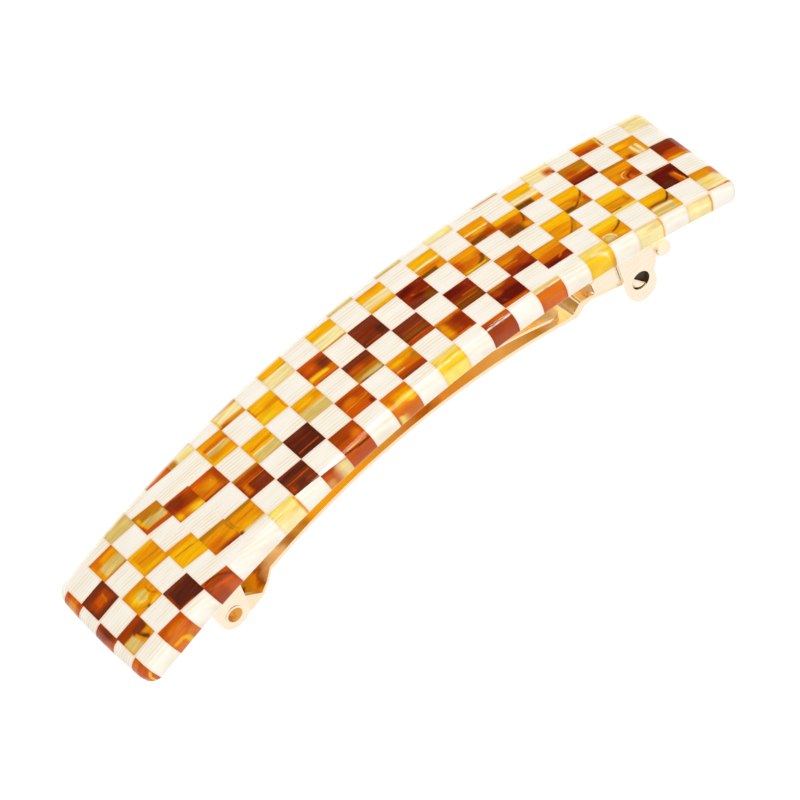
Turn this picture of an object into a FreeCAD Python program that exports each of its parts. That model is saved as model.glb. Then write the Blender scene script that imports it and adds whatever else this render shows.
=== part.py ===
# Hair barrette: a gently bent, laminated check-pattern acetate plate on a sprung
# steel clip with a side-squeeze release.  Millimetres, +Z out from the head,
# +X towards the clasp, -Y the side that faces down when worn.
# Origin: bottom centre of the closed barrette (foot of the two clasp ears).
import FreeCAD, Part
import math
import os
import Sketcher

V = FreeCAD.Vector
doc = FreeCAD.newDocument("barrette")

# ---------------------------------------------------------------- dimensions
CELLS = [
    # acetate plate
    ("apex_height", 20.4), ("plate_radius", 154.24), ("plate_thick", 3.0),
    ("plate_wide", 21.0), ("plate_reach", 50.05), ("plate_reachleft", 49.65), ("plate_bow", 0.12), ("plate_bowleft", 0.4),
    ("plate_corner", 1.8), ("plate_top_round", 1.7), ("plate_low_round", 0.5),
    # base strip
    ("base_radius", 97.0), ("base_thick", 0.7), ("base_half", 4.0),
    ("ear_span", 11.0), ("ear_gap", 9.6),
    ("base_left", 37.4), ("base_right", 37.5),
    # hinge
    ("hinge_posx", -34.3), ("hinge_posz", 4.4), ("hinge_ear_round", 2.25),
    ("tube_outer", 1.25), ("tube_bore", 1.08), ("tube_lip", 1.42), ("lip_thick", 0.1),
    # clasp ears
    ("clasp_posx", 34.45), ("clasp_foot", 2.3), ("clasp_holex", 34.5),
    ("clasp_holez", 3.5), ("clasp_hole", 1.4),
    # fixing studs
    ("stud_posx", 11.0), ("stud_shank", 0.9), ("stud_deep", 1.4),
    ("stud_head", 1.6), ("stud_headthick", 0.45), ("stud_clear", 0.05),
    # locking arm
    ("arm_radius", 94.6), ("arm_thick", 0.6), ("arm_midx", -1.8), ("arm_midz", 7.55),
    ("arm_half", 3.0), ("arm_paddle", 4.7), ("arm_flange_in", 4.1),
    ("arm_hole", 1.30), ("arm_flange_round", 2.05),
    ("web_startx", 26.8), ("web_startz", 5.7), ("web_slope", 20.6),
    ("web_half", 4.2), ("web_tip_half", 3.0), ("web_endx", 36.2),
    # tension bow
    ("bow_radius", 72.3), ("bow_thick", 0.4), ("bow_midx", -5.0), ("bow_midz", 10.7),
    ("bow_wide", 5.0), ("bow_endx", 24.2), ("bow_ring", 1.75), ("bow_hole", 1.31),
    # latch spring, its rivet and the two release tabs
    ("latch_thick", 0.4), ("latch_startx", 27.6), ("latch_endx", 32.4),
    ("rivet_posx", 30.0), ("rivet_shank", 0.8), ("rivet_head", 1.35), ("rivet_headthick", 0.35),
    ("tab_mid", 4.5), ("tab_thick", 0.4),
    ("knob_posx", 39.3), ("knob_posz", 5.2), ("knob_round", 1.15), ("knob_thick", 1.4), ("knob_mid", 5.0),
    ("barb_chord", -0.2), ("barb_bevel", 0.22), ("barb_round", 1.3), ("barb_mid", 5.0), ("barb_thick", 0.8),
]
sheet = doc.addObject("Spreadsheet::Sheet", "Dims")
for i, (alias, value) in enumerate(CELLS, 1):
    sheet.set("A%d" % i, alias)
    sheet.set("B%d" % i, str(value))
    sheet.setAlias("B%d" % i, alias)
doc.recompute()
D = {alias: float(value) for alias, value in CELLS}


# ------------------------------------------------------------------- helpers
def plane(body, role):
    return next(o for o in body.Origin.OriginFeatures if o.Role == role)


def new_body(label):
    body = doc.addObject("PartDesign::Body", label)
    body.Label = label
    return body


def new_sketch(body, name, role, off=0.0, off_expr=None):
    s = body.newObject("Sketcher::SketchObject", name)
    s.AttachmentSupport = [(plane(body, role), "")]
    s.MapMode = "FlatFace"
    if off:
        s.AttachmentOffset = FreeCAD.Placement(V(0, 0, off), FreeCAD.Rotation())
    if off_expr:
        s.setExpression("AttachmentOffset.Base.z", off_expr)
    return s


def put(s, items, start=None):
    """items: ("L", x0, y0, x1, y1), ("A", cx, cy, r, a0, a1) in degrees, ("C", cx, cy, r)."""
    ids = []
    for it in items:
        if it[0] == "L":
            g = Part.LineSegment(V(it[1], it[2], 0), V(it[3], it[4], 0))
        elif it[0] == "A":
            c = Part.Circle(V(it[1], it[2], 0), V(0, 0, 1), it[3])
            g = Part.ArcOfCircle(c, math.radians(it[4]), math.radians(it[5]))
        else:
            g = Part.Circle(V(it[1], it[2], 0), V(0, 0, 1), it[3])
        ids.append(s.addGeometry(g, False))
    ends = []
    for k in ids:
        g = s.Geometry[k]
        if isinstance(g, Part.Circle):
            continue
        ends.append((k, 1, g.StartPoint))
        ends.append((k, 2, g.EndPoint))
    used = set()
    for a in range(len(ends)):
        for b in range(a + 1, len(ends)):
            ka, pa, qa = ends[a]
            kb, pb, qb = ends[b]
            if ka != kb and (ka, pa) not in used and (kb, pb) not in used and (qa - qb).Length < 1e-4:
                s.addConstraint(Sketcher.Constraint("Coincident", ka, pa, kb, pb))
                used.add((ka, pa))
                used.add((kb, pb))
    return ids


def dim(s, kind, args, expr, value):
    i = s.addConstraint(Sketcher.Constraint(kind, *(list(args) + [value])))
    s.setExpression("Constraints[%d]" % i, expr)
    return i


def hold(s, geo, pos, x, y, ex=None, ey=None):
    """Pin a sketch point, bound to the sheet where an expression is given."""
    for kind, v, e in (("DistanceX", x, ex), ("DistanceY", y, ey)):
        i = s.addConstraint(Sketcher.Constraint(kind, -1, 1, geo, pos, v))
        if e:
            s.setExpression("Constraints[%d]" % i, e)


def band(body, name, cx, cz, ro, ri, xa, xb, ecx, ecz, ero, eri):
    """Arc strip profile on the XZ plane, cut off along radii at x = xa and x = xb of its top."""
    s = new_sketch(body, name, "XZ_Plane")
    a1 = math.degrees(math.acos((xa - cx) / ro))
    a0 = math.degrees(math.acos((xb - cx) / ro))
    p = lambda r, a: (cx + r * math.cos(math.radians(a)), cz + r * math.sin(math.radians(a)))
    o0, o1, i0, i1 = p(ro, a0), p(ro, a1), p(ri, a0), p(ri, a1)
    g = put(s, [("A", cx, cz, ro, a0, a1), ("L", o1[0], o1[1], i1[0], i1[1]),
                ("A", cx, cz, ri, a0, a1), ("L", i0[0], i0[1], o0[0], o0[1])])
    s.addConstraint(Sketcher.Constraint("Coincident", g[0], 3, g[2], 3))
    hold(s, g[0], 3, cx, cz, ecx, ecz)
    dim(s, "Radius", (g[0],), ero, ro)
    dim(s, "Radius", (g[2],), eri, ri)
    return s


def pad(body, name, s, expr, value):
    f = body.newObject("PartDesign::Pad", name)
    f.Profile = s
    f.SideType = "Symmetric"
    f.Length = value
    f.setExpression("Length", expr)
    doc.recompute()
    return f


def volume(body):
    return body.Shape.Volume


def pocket(body, name, s, expr=None, value=200.0):
    before = volume(body)
    f = body.newObject("PartDesign::Pocket", name)
    f.Profile = s
    f.SideType = "Symmetric"
    f.Length = value
    if expr:
        f.setExpression("Length", expr)
    doc.recompute()
    assert before - volume(body) > 1e-3, "%s cuts nothing" % name
    return f


def edge_round(body, name, radius, expr, test, chamfer=False):
    tip = body.Tip
    names = ["Edge%d" % (i + 1) for i, e in enumerate(tip.Shape.Edges) if test(e)]
    assert names, "no edges for %s" % name
    f = body.newObject("PartDesign::Chamfer" if chamfer else "PartDesign::Fillet", name)
    f.Base = (tip, names)
    if chamfer:
        f.Size = radius
        f.setExpression("Size", expr)
    else:
        f.Radius = radius
        if expr:
            f.setExpression("Radius", expr)
    doc.recompute()
    return f


def mid(e):
    return e.valueAt(0.5 * (e.FirstParameter + e.LastParameter))


def ends_of(e):
    return [v.Point for v in e.Vertexes]


def tilted_hole(body, name, px, pz, deg, r, lo, hi, er, groove=True):
    """Round hole (or pin) about an axis in the XZ plane that leans deg from +Z towards +X."""
    a = math.radians(deg)
    ux, uz = math.sin(a), math.cos(a)          # along the axis
    nx, nz = math.cos(a), -math.sin(a)         # across it
    s = new_sketch(body, name + "_profile", "XZ_Plane")
    q = lambda d, t: (px + nx * d + ux * t, pz + nz * d + uz * t)
    c = [q(0, lo), q(r, lo), q(r, hi), q(0, hi)]
    g = put(s, [("L", c[0][0], c[0][1], c[1][0], c[1][1]), ("L", c[1][0], c[1][1], c[2][0], c[2][1]),
                ("L", c[2][0], c[2][1], c[3][0], c[3][1]), ("L", c[3][0], c[3][1], c[0][0], c[0][1])])
    hold(s, g[0], 1, c[0][0], c[0][1])
    hold(s, g[3], 1, c[3][0], c[3][1])
    s.addConstraint(Sketcher.Constraint("Perpendicular", g[0], g[3]))
    s.addConstraint(Sketcher.Constraint("Perpendicular", g[2], g[3]))
    dim(s, "Distance", (g[0],), er, r)
    before = volume(body)
    f = body.newObject("PartDesign::Groove", name)
    f.Profile = s
    f.ReferenceAxis = (s, ["Edge4"])
    f.Angle = 360.0
    doc.recompute()
    assert before - volume(body) > 1e-3, "%s cuts nothing" % name
    return f


def mirror_yz(body, name, feats):
    before = volume(body)
    f = body.newObject("PartDesign::Mirrored", name)
    f.Originals = feats
    f.MirrorPlane = (plane(body, "YZ_Plane"), [""])
    body.Tip = f
    doc.recompute()
    assert abs(before - volume(body)) > 1e-3, "%s changes nothing" % name
    return f


# ---------------------------------------------------------- 1. acetate plate
# One bonded sheet of check laminate, bent over a cylinder about Y, its top
# edges rounded and polished, its ends bowed out a little in plan.
plate = new_body("acetate_plate")
R, T, APEX = D["plate_radius"], D["plate_thick"], D["apex_height"]
s = band(plate, "plate_band", 0.0, APEX - R, R, R - T, -D["plate_reach"] - 1.0, D["plate_reach"] + 1.0,
         None, "Dims.apex_height - Dims.plate_radius", "Dims.plate_radius", "Dims.plate_radius - Dims.plate_thick")
pad(plate, "plate_pad", s, "Dims.plate_wide", D["plate_wide"])
s = new_sketch(plate, "plate_plan", "XY_Plane")
hw, reach, left = D["plate_wide"] / 2, D["plate_reach"], D["plate_reachleft"]
hw2 = hw + 3.0


def end_arc(reach_, bow_):
    """Radius, arc centre, half angle and corner of one bowed end."""
    deep = bow_ * (hw2 / hw) ** 2
    r_ = (hw2 * hw2 + deep ** 2) / (2 * deep)
    a_ = math.degrees(math.asin(hw2 / r_))
    return r_, reach_ - r_, a_, reach_ - r_ + r_ * math.cos(math.radians(a_))


rb, cxr, ab, xr = end_arc(reach, D["plate_bow"])
rbl, cxl, abl, xl_ = end_arc(left, D["plate_bowleft"])
g = put(s, [("L", -60, -20, 60, -20), ("L", 60, -20, 60, 20), ("L", 60, 20, -60, 20), ("L", -60, 20, -60, -20),
            ("A", cxr, 0, rb, -ab, ab), ("L", xr, hw2, -xl_, hw2),
            ("A", -cxl, 0, rbl, 180 - abl, 180 + abl), ("L", -xl_, -hw2, xr, -hw2)])
dim(s, "Radius", (g[4],), "%.6f" % rb, rb)
hold(s, g[4], 3, cxr, 0.0, "Dims.plate_reach - %.6f" % rb)
pocket(plate, "plate_ends", s)
edge_round(plate, "plate_corners", D["plate_corner"], "Dims.plate_corner",
           lambda e: abs(mid(e).x) > left - 2 and abs(abs(mid(e).y) - hw) < 0.01 and e.Length < 4.5)
on_top = lambda p: abs(math.hypot(p.x, p.z - (APEX - R)) - R) < 1e-3
on_low = lambda p: abs(math.hypot(p.x, p.z - (APEX - R)) - (R - T)) < 1e-3
edge_round(plate, "plate_top_edge", D["plate_top_round"], "Dims.plate_top_round",
           lambda e: on_top(mid(e)) and all(on_top(p) for p in ends_of(e)))
edge_round(plate, "plate_low_edge", D["plate_low_round"], "Dims.plate_low_round",
           lambda e: on_low(mid(e)) and all(on_low(p) for p in ends_of(e)))
# blind holes for the two heat-set studs, square to the base strip
BR, BT = D["base_radius"], D["base_thick"]
BZ = APEX - T - BR                      # height of the base strip's arc centre
stud_deg = math.degrees(math.asin(D["stud_posx"] / BR))
sx, sz = D["stud_posx"], BZ + math.sqrt(BR ** 2 - D["stud_posx"] ** 2)
h = tilted_hole(plate, "stud_hole", sx, sz, stud_deg, D["stud_shank"], -0.6, 0.25 + D["stud_deep"], "Dims.stud_shank")
mirror_yz(plate, "stud_holes", [h])

# ------------------------------------------------------------- 2. base plate
# Stamped spring-steel strip, more sharply bent than the acetate so that it
# meets it at the middle; hinge ears at -X, taller holed clasp ears at +X.
base = new_body("base_plate")
s = band(base, "base_band", 0.0, BZ, BR, BR - BT, -D["base_left"], D["base_right"],
         None, "Dims.apex_height - Dims.plate_thick - Dims.base_radius", "Dims.base_radius",
         "Dims.base_radius - Dims.base_thick")
pad(base, "base_pad", s, "Dims.ear_span", D["ear_span"])
s = new_sketch(base, "base_waist", "XY_Plane")
bh = D["base_half"]
for sign in (1, -1):
    y0, y1, yr = sign * bh, sign * 8.0, sign * (bh + 1.2)
    if sign > 0:
        arcs = [("A", -29.6, yr, 1.2, 180, 270), ("A", 30.4, yr, 1.2, 270, 360)]
    else:
        arcs = [("A", -29.6, yr, 1.2, 90, 180), ("A", 30.4, yr, 1.2, 0, 90)]
    g = put(s, [arcs[0], ("L", -29.6, y0, 30.4, y0), arcs[1],
                ("L", 31.6, yr, 31.6, y1), ("L", 31.6, y1, -30.8, y1), ("L", -30.8, y1, -30.8, yr)])
    i = s.addConstraint(Sketcher.Constraint("DistanceY", -1, 1, g[1], 1, y0))
    s.setExpression("Constraints[%d]" % i, "%s Dims.base_half" % ("" if sign > 0 else "-1 *"))
pocket(base, "base_waist_cut", s)
# ears, drawn as blocks across the strip and then hollowed to two walls each
hx, hz, hr = D["hinge_posx"], D["hinge_posz"], D["hinge_ear_round"]
mid_z = lambda x: BZ + math.sqrt((BR - BT / 2) ** 2 - x * x)


def lobe(cx, cz, r, xl, xr_):
    """Ear outline: two flanks from the strip down to a round foot of radius r."""
    zl, zr = mid_z(xl), mid_z(xr_)
    out = []
    for (px, pz, side) in ((xl, zl, -1), (xr_, zr, 1)):
        dx, dz = px - cx, pz - cz
        dd = math.hypot(dx, dz)
        th = math.atan2(dz, dx)
        al = math.acos(r / dd)
        out.append(th + al if side < 0 else th - al)
    (aL, aR) = out
    pL = (cx + r * math.cos(aL), cz + r * math.sin(aL))
    pR = (cx + r * math.cos(aR), cz + r * math.sin(aR))
    return [("L", xl, zl, pL[0], pL[1]),
            ("A", cx, cz, r, math.degrees(aL), math.degrees(aR) + 360.0),
            ("L", pR[0], pR[1], xr_, zr), ("L", xr_, zr, xl, zl)]


s = new_sketch(base, "ear_outlines", "XZ_Plane")
g = put(s, lobe(hx, hz, hr, -37.3, -31.5))
hold(s, g[1], 3, hx, hz, "Dims.hinge_posx", "Dims.hinge_posz")
dim(s, "Radius", (g[1],), "Dims.hinge_ear_round", hr)
g = put(s, lobe(D["clasp_posx"], D["clasp_foot"], D["clasp_foot"], 32.45, 37.4))
hold(s, g[1], 3, D["clasp_posx"], D["clasp_foot"], "Dims.clasp_posx", "Dims.clasp_foot")
dim(s, "Radius", (g[1],), "Dims.clasp_foot", D["clasp_foot"])
pad(base, "ears", s, "Dims.ear_span", D["ear_span"])
s = new_sketch(base, "ear_inside", "XZ_Plane")
ri = BR - BT
ang = math.degrees(math.asin(44.0 / ri))
zi = BZ + math.sqrt(ri * ri - 44.0 ** 2)
g = put(s, [("A", 0, BZ, ri, 90 - ang, 90 + ang), ("L", -44.0, zi, -44.0, -5.0),
            ("L", -44.0, -5.0, 44.0, -5.0), ("L", 44.0, -5.0, 44.0, zi)])
hold(s, g[0], 3, 0.0, BZ, None, "Dims.apex_height - Dims.plate_thick - Dims.base_radius")
dim(s, "Radius", (g[0],), "Dims.base_radius - Dims.base_thick", ri)
pocket(base, "ear_inside_cut", s, "Dims.ear_gap", D["ear_gap"])
s = new_sketch(base, "ear_holes", "XZ_Plane")
g = put(s, [("C", hx, hz, D["tube_outer"]), ("C", D["clasp_holex"], D["clasp_holez"], D["clasp_hole"])])
hold(s, g[0], 3, hx, hz, "Dims.hinge_posx", "Dims.hinge_posz")
dim(s, "Radius", (g[0],), "Dims.tube_outer", D["tube_outer"])
hold(s, g[1], 3, D["clasp_holex"], D["clasp_holez"], "Dims.clasp_holex", "Dims.clasp_holez")
dim(s, "Radius", (g[1],), "Dims.clasp_hole", D["clasp_hole"])
pocket(base, "ear_holes_cut", s)
h = tilted_hole(base, "base_stud_hole", sx, sz, stud_deg, D["stud_shank"] + D["stud_clear"], -1.2, 0.5,
                "Dims.stud_shank + Dims.stud_clear")
mirror_yz(base, "base_stud_holes", [h])
# the outside of each fold between strip and ear
on_base = lambda p: abs(math.hypot(p.x, p.z - BZ) - BR) < 1e-3
edge_round(base, "ear_folds", 0.6, None,
           lambda e: on_base(mid(e)) and abs(abs(mid(e).y) - D["ear_span"] / 2) < 0.01
           and all(abs(abs(p.y) - D["ear_span"] / 2) < 0.01 for p in ends_of(e)))

# ---------------------------------------------------------- 3. fixing studs
# Two headed studs through the base strip, heat-set into the acetate.
studs = []
for side in (1, -1):
    a = math.radians(stud_deg * side)
    ax = V(math.sin(a), 0, math.cos(a))
    root = V(side * sx, 0, sz)
    rot = FreeCAD.Rotation(V(0, 0, 1), ax)
    tag = "right" if side > 0 else "left"
    shank = doc.addObject("Part::Cylinder", "stud_shank_" + tag)
    shank.setExpression("Radius", "Dims.stud_shank")
    lo = -D["base_thick"] - 0.03
    shank.Height = D["stud_deep"] + 0.25 - lo
    shank.setExpression("Height", "Dims.stud_deep + 0.25 + Dims.base_thick + 0.03")
    shank.Placement = FreeCAD.Placement(root + ax * lo, rot)
    head = doc.addObject("Part::Cylinder", "stud_head_" + tag)
    head.setExpression("Radius", "Dims.stud_head")
    head.setExpression("Height", "Dims.stud_headthick")
    head.Placement = FreeCAD.Placement(root + ax * (lo - D["stud_headthick"]), rot)
    fuse = doc.addObject("Part::Fuse", "stud_" + tag)
    fuse.Base, fuse.Tool = shank, head
    doc.recompute()
    dome = doc.addObject("Part::Fillet", "stud_dome_" + tag)
    dome.Base = fuse
    foot = root + ax * (lo - D["stud_headthick"])
    idx = [i + 1 for i, e in enumerate(fuse.Shape.Edges)
           if len(e.Vertexes) == 1 and abs((mid(e) - foot).dot(ax)) < 1e-3 and abs((mid(e) - foot).Length - D["stud_head"]) < 1e-3]
    dome.Edges = [(i, 0.3, 0.3) for i in idx]
    studs.append(dome)
pins = doc.addObject("Part::Compound", "fixing_pins")
pins.Label = "fixing_pins"
pins.Links = studs

# ------------------------------------------------------------ 4. hinge tube
# Hollow rivet through both hinge ears, rolled over outside each.
half = D["ear_span"] / 2
hinge_rot = FreeCAD.Rotation(V(1, 0, 0), -90)       # cylinder axis to +Y
parts = []
for name, rex, hex_, y in (("tube_barrel", "Dims.tube_outer", "Dims.ear_span", -half),
                           ("tube_lip_near", "Dims.tube_lip", "Dims.lip_thick", -half - D["lip_thick"]),
                           ("tube_lip_far", "Dims.tube_lip", "Dims.lip_thick", half)):
    c = doc.addObject("Part::Cylinder", name)
    c.setExpression("Radius", rex)
    c.setExpression("Height", hex_)
    c.Placement = FreeCAD.Placement(V(hx, y, hz), hinge_rot)
    c.setExpression("Placement.Base.x", "Dims.hinge_posx")
    c.setExpression("Placement.Base.z", "Dims.hinge_posz")
    parts.append(c)
barrel = doc.addObject("Part::MultiFuse", "tube_blank")
barrel.Shapes = parts
boreh = doc.addObject("Part::Cylinder", "tube_bore_cut")
boreh.setExpression("Radius", "Dims.tube_bore")
boreh.Height = 14.0
boreh.Placement = FreeCAD.Placement(V(hx, -7.0, hz), hinge_rot)
boreh.setExpression("Placement.Base.x", "Dims.hinge_posx")
boreh.setExpression("Placement.Base.z", "Dims.hinge_posz")
tube = doc.addObject("Part::Cut", "tube_cut")
tube.Base, tube.Tool = barrel, boreh
doc.recompute()
tube_r = doc.addObject("Part::Fillet", "hinge_tube")
tube_r.Label = "hinge_tube"
tube_r.Base = tube
tube_r.Edges = [(i + 1, 0.05, 0.05) for i, e in enumerate(tube.Shape.Edges)
                if len(e.Vertexes) == 1 and abs(abs(mid(e).y) - half - D["lip_thick"]) < 1e-3]

# ------------------------------------------------------------ 5. locking arm
# Bowed strip with a hinge paddle and two upturned flanges at -X, and a step
# up into a flat web at +X that carries the latch spring.
arm = new_body("locking_arm")
AR, AT = D["arm_radius"], D["arm_thick"]
amx, amz = D["arm_midx"], D["arm_midz"] - AR
arc_top = lambda x: amz + math.sqrt(AR ** 2 - (x - amx) ** 2)
arc_low = lambda x: amz + math.sqrt((AR - AT) ** 2 - (x - amx) ** 2)
tw = math.tan(math.radians(D["web_slope"]))
cw = math.cos(math.radians(D["web_slope"]))
web_low = lambda x: D["web_startz"] - tw * (x - D["web_startx"])
web_top = lambda x: web_low(x) + AT / cw
xl, xj = -33.2, 24.9
al_t = math.degrees(math.acos((xl - amx) / AR)); ar_t = math.degrees(math.acos((xj - 0.25 - amx) / AR))
al_b = math.degrees(math.acos((xl - amx) / (AR - AT))); ar_b = math.degrees(math.acos((xj + 0.15 - amx) / (AR - AT)))
pt = lambda r, a: (amx + r * math.cos(math.radians(a)), amz + r * math.sin(math.radians(a)))
tl, tr, bl, br = pt(AR, al_t), pt(AR, ar_t), pt(AR - AT, al_b), pt(AR - AT, ar_b)
wt0, wb0 = (26.55, web_top(26.55)), (26.95, web_low(26.95))
xe = D["web_endx"]
wt1, wb1 = (xe, web_top(xe)), (xe - AT * math.sin(math.radians(D["web_slope"])), web_low(xe - AT * math.sin(math.radians(D["web_slope"]))))
s = new_sketch(arm, "arm_profile", "XZ_Plane")
g = put(s, [("A", amx, amz, AR, ar_t, al_t), ("L", tl[0], tl[1], bl[0], bl[1]), ("A", amx, amz, AR - AT, ar_b, al_b),
            ("L", br[0], br[1], wb0[0], wb0[1]), ("L", wb0[0], wb0[1], wb1[0], wb1[1]), ("L", wb1[0], wb1[1], wt1[0], wt1[1]),
            ("L", wt1[0], wt1[1], wt0[0], wt0[1]), ("L", wt0[0], wt0[1], tr[0], tr[1])])
s.addConstraint(Sketcher.Constraint("Coincident", g[0], 3, g[2], 3))
hold(s, g[0], 3, amx, amz, "Dims.arm_midx", "Dims.arm_midz - Dims.arm_radius")
dim(s, "Radius", (g[0],), "Dims.arm_radius", AR)
dim(s, "Radius", (g[2],), "Dims.arm_radius - Dims.arm_thick", AR - AT)
pad(arm, "arm_pad", s, "2 * Dims.arm_paddle", 2 * D["arm_paddle"])
# soften the four folds of the step
fold = lambda e: abs(abs(mid(e).y)) < 0.01 and e.Length > 9.0 and 24.0 < mid(e).x < 27.6
edge_round(arm, "arm_step_folds", 1.3, None, fold)
s = new_sketch(arm, "arm_plan", "XY_Plane")
ah, ap, wh, wth = D["arm_half"], D["arm_paddle"], D["web_half"], D["web_tip_half"]
half_plan = [(-33.6, 2.6), (-33.0, 4.0), (-31.8, ap), (-29.6, ap), (-28.2, 4.1), (-26.7, ah), (24.4, ah), (25.6, 3.5),
             (26.9, wh), (32.5, wh), (32.7, wth), (35.4, wth), (36.6, 1.9)]
loop = half_plan + [(x, -y) for x, y in reversed(half_plan)]
items = [("L", -60, -20, 60, -20), ("L", 60, -20, 60, 20), ("L", 60, 20, -60, 20), ("L", -60, 20, -60, -20)]
for k in range(len(loop)):
    p0, p1 = loop[k], loop[(k + 1) % len(loop)]
    items.append(("L", p0[0], p0[1], p1[0], p1[1]))
g = put(s, items)
iw = 4 + 5                                  # the straight waist edge
for k, sg in ((iw, ""), (4 + len(half_plan) + (len(half_plan) - 2 - 5), "-1 *")):
    i = s.addConstraint(Sketcher.Constraint("DistanceY", -1, 1, g[k], 1, s.Geometry[g[k]].StartPoint.y))
    s.setExpression("Constraints[%d]" % i, "%s Dims.arm_half" % sg)
pocket(arm, "arm_plan_cut", s)
s = new_sketch(arm, "arm_flanges", "XZ_Plane")
fr = D["arm_flange_round"]
# flange: a round boss about the hinge, its foot on the paddle
fx0, fx1 = -33.0, -29.4
f0, f1 = (fx0, arc_top(fx0) - AT / 2), (fx1, arc_top(fx1) - AT / 2)
d1 = math.hypot(f1[0] - hx, f1[1] - hz)
a1_ = math.atan2(f1[1] - hz, f1[0] - hx) + math.acos(fr / d1)
d0 = math.hypot(f0[0] - hx, f0[1] - hz)
a0_ = math.atan2(f0[1] - hz, f0[0] - hx) - math.acos(fr / d0)
pA = (hx + fr * math.cos(a1_), hz + fr * math.sin(a1_))
pB = (hx + fr * math.cos(a0_), hz + fr * math.sin(a0_))
g = put(s, [("A", hx, hz, fr, math.degrees(a1_), math.degrees(a0_) + 360.0), ("L", pB[0], pB[1], f0[0], f0[1]),
            ("L", f0[0], f0[1], f1[0], f1[1]), ("L", f1[0], f1[1], pA[0], pA[1])])
hold(s, g[0], 3, hx, hz, "Dims.hinge_posx", "Dims.hinge_posz")
dim(s, "Radius", (g[0],), "Dims.arm_flange_round", fr)
pad(arm, "arm_flange_pad", s, "2 * Dims.arm_paddle", 2 * D["arm_paddle"])
s = new_sketch(arm, "arm_inside", "XZ_Plane")
aa, ab_ = math.degrees(math.acos((-38.5 - amx) / AR)), math.degrees(math.acos((-27.5 - amx) / AR))
qa, qb = pt(AR, aa), pt(AR, ab_)
g = put(s, [("A", amx, amz, AR, ab_, aa), ("L", qa[0], qa[1], qa[0], 9.5), ("L", qa[0], 9.5, qb[0], 9.5), ("L", qb[0], 9.5, qb[0], qb[1])])
hold(s, g[0], 3, amx, amz, "Dims.arm_midx", "Dims.arm_midz - Dims.arm_radius")
dim(s, "Radius", (g[0],), "Dims.arm_radius", AR)
pocket(arm, "arm_inside_cut", s, "2 * Dims.arm_flange_in", 2 * D["arm_flange_in"])
s = new_sketch(arm, "arm_hinge_hole", "XZ_Plane")
g = put(s, [("C", hx, hz, D["arm_hole"])])
hold(s, g[0], 3, hx, hz, "Dims.hinge_posx", "Dims.hinge_posz")
dim(s, "Radius", (g[0],), "Dims.arm_hole", D["arm_hole"])
pocket(arm, "arm_hinge_hole_cut", s)
rx = D["rivet_posx"]
wdeg = D["web_slope"]
rz = web_top(rx)
tilted_hole(arm, "arm_rivet_hole", rx, rz, wdeg, D["rivet_shank"], -1.2, 0.6, "Dims.rivet_shank")

# ------------------------------------------------------------ 6. tension bow
# Thin sprung leaf that curls round the hinge tube and presses the hair
# against the base strip.
bow_b = new_body("tension_bow")
WR, WT = D["bow_radius"], D["bow_thick"]
s = band(bow_b, "bow_band", D["bow_midx"], D["bow_midz"] - WR, WR, WR - WT, -33.3, D["bow_endx"],
         "Dims.bow_midx", "Dims.bow_midz - Dims.bow_radius", "Dims.bow_radius", "Dims.bow_radius - Dims.bow_thick")
pad(bow_b, "bow_pad", s, "Dims.bow_wide", D["bow_wide"])
edge_round(bow_b, "bow_tip", 2.3, None, lambda e: e.Length < 0.6 and mid(e).x > 20)
s = new_sketch(bow_b, "bow_curl", "XZ_Plane")
g = put(s, [("C", hx, hz, D["bow_ring"])])
hold(s, g[0], 3, hx, hz, "Dims.hinge_posx", "Dims.hinge_posz")
dim(s, "Radius", (g[0],), "Dims.bow_ring", D["bow_ring"])
pad(bow_b, "bow_curl_pad", s, "Dims.bow_wide", D["bow_wide"])
s = new_sketch(bow_b, "bow_eye", "XZ_Plane")
g = put(s, [("C", hx, hz, D["bow_hole"])])
hold(s, g[0], 3, hx, hz, "Dims.hinge_posx", "Dims.hinge_posz")
dim(s, "Radius", (g[0],), "Dims.bow_hole", D["bow_hole"])
pocket(bow_b, "bow_eye_cut", s)

# ----------------------------------------------------------- 7. latch spring
# Foot of the latch spring, flat on the arm's web.
latch = new_body("latch_spring")
s = new_sketch(latch, "latch_profile", "XZ_Plane")
lt = D["latch_thick"]
nx_, nz_ = math.sin(math.radians(wdeg)), math.cos(math.radians(wdeg))
l0, l1 = (D["latch_startx"], web_top(D["latch_startx"])), (D["latch_endx"], web_top(D["latch_endx"]))
g = put(s, [("L", l0[0], l0[1], l1[0], l1[1]), ("L", l1[0], l1[1], l1[0] + nx_ * lt, l1[1] + nz_ * lt),
            ("L", l1[0] + nx_ * lt, l1[1] + nz_ * lt, l0[0] + nx_ * lt, l0[1] + nz_ * lt),
            ("L", l0[0] + nx_ * lt, l0[1] + nz_ * lt, l0[0], l0[1])])
hold(s, g[0], 1, l0[0], l0[1], "Dims.latch_startx")
hold(s, g[0], 2, l1[0], l1[1], "Dims.latch_endx")
s.addConstraint(Sketcher.Constraint("Perpendicular", g[0], g[1]))
s.addConstraint(Sketcher.Constraint("Perpendicular", g[0], g[3]))
s.addConstraint(Sketcher.Constraint("Parallel", g[0], g[2]))
dim(s, "Distance", (g[1],), "Dims.latch_thick", lt)
pad(latch, "latch_pad", s, "2 * Dims.web_half", 2 * D["web_half"])
edge_round(latch, "latch_corners", 1.0, None, lambda e: abs(e.Length - lt) < 0.02)
tilted_hole(latch, "latch_rivet_hole", rx, rz, wdeg, D["rivet_shank"], -0.5, 1.0, "Dims.rivet_shank")

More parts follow.
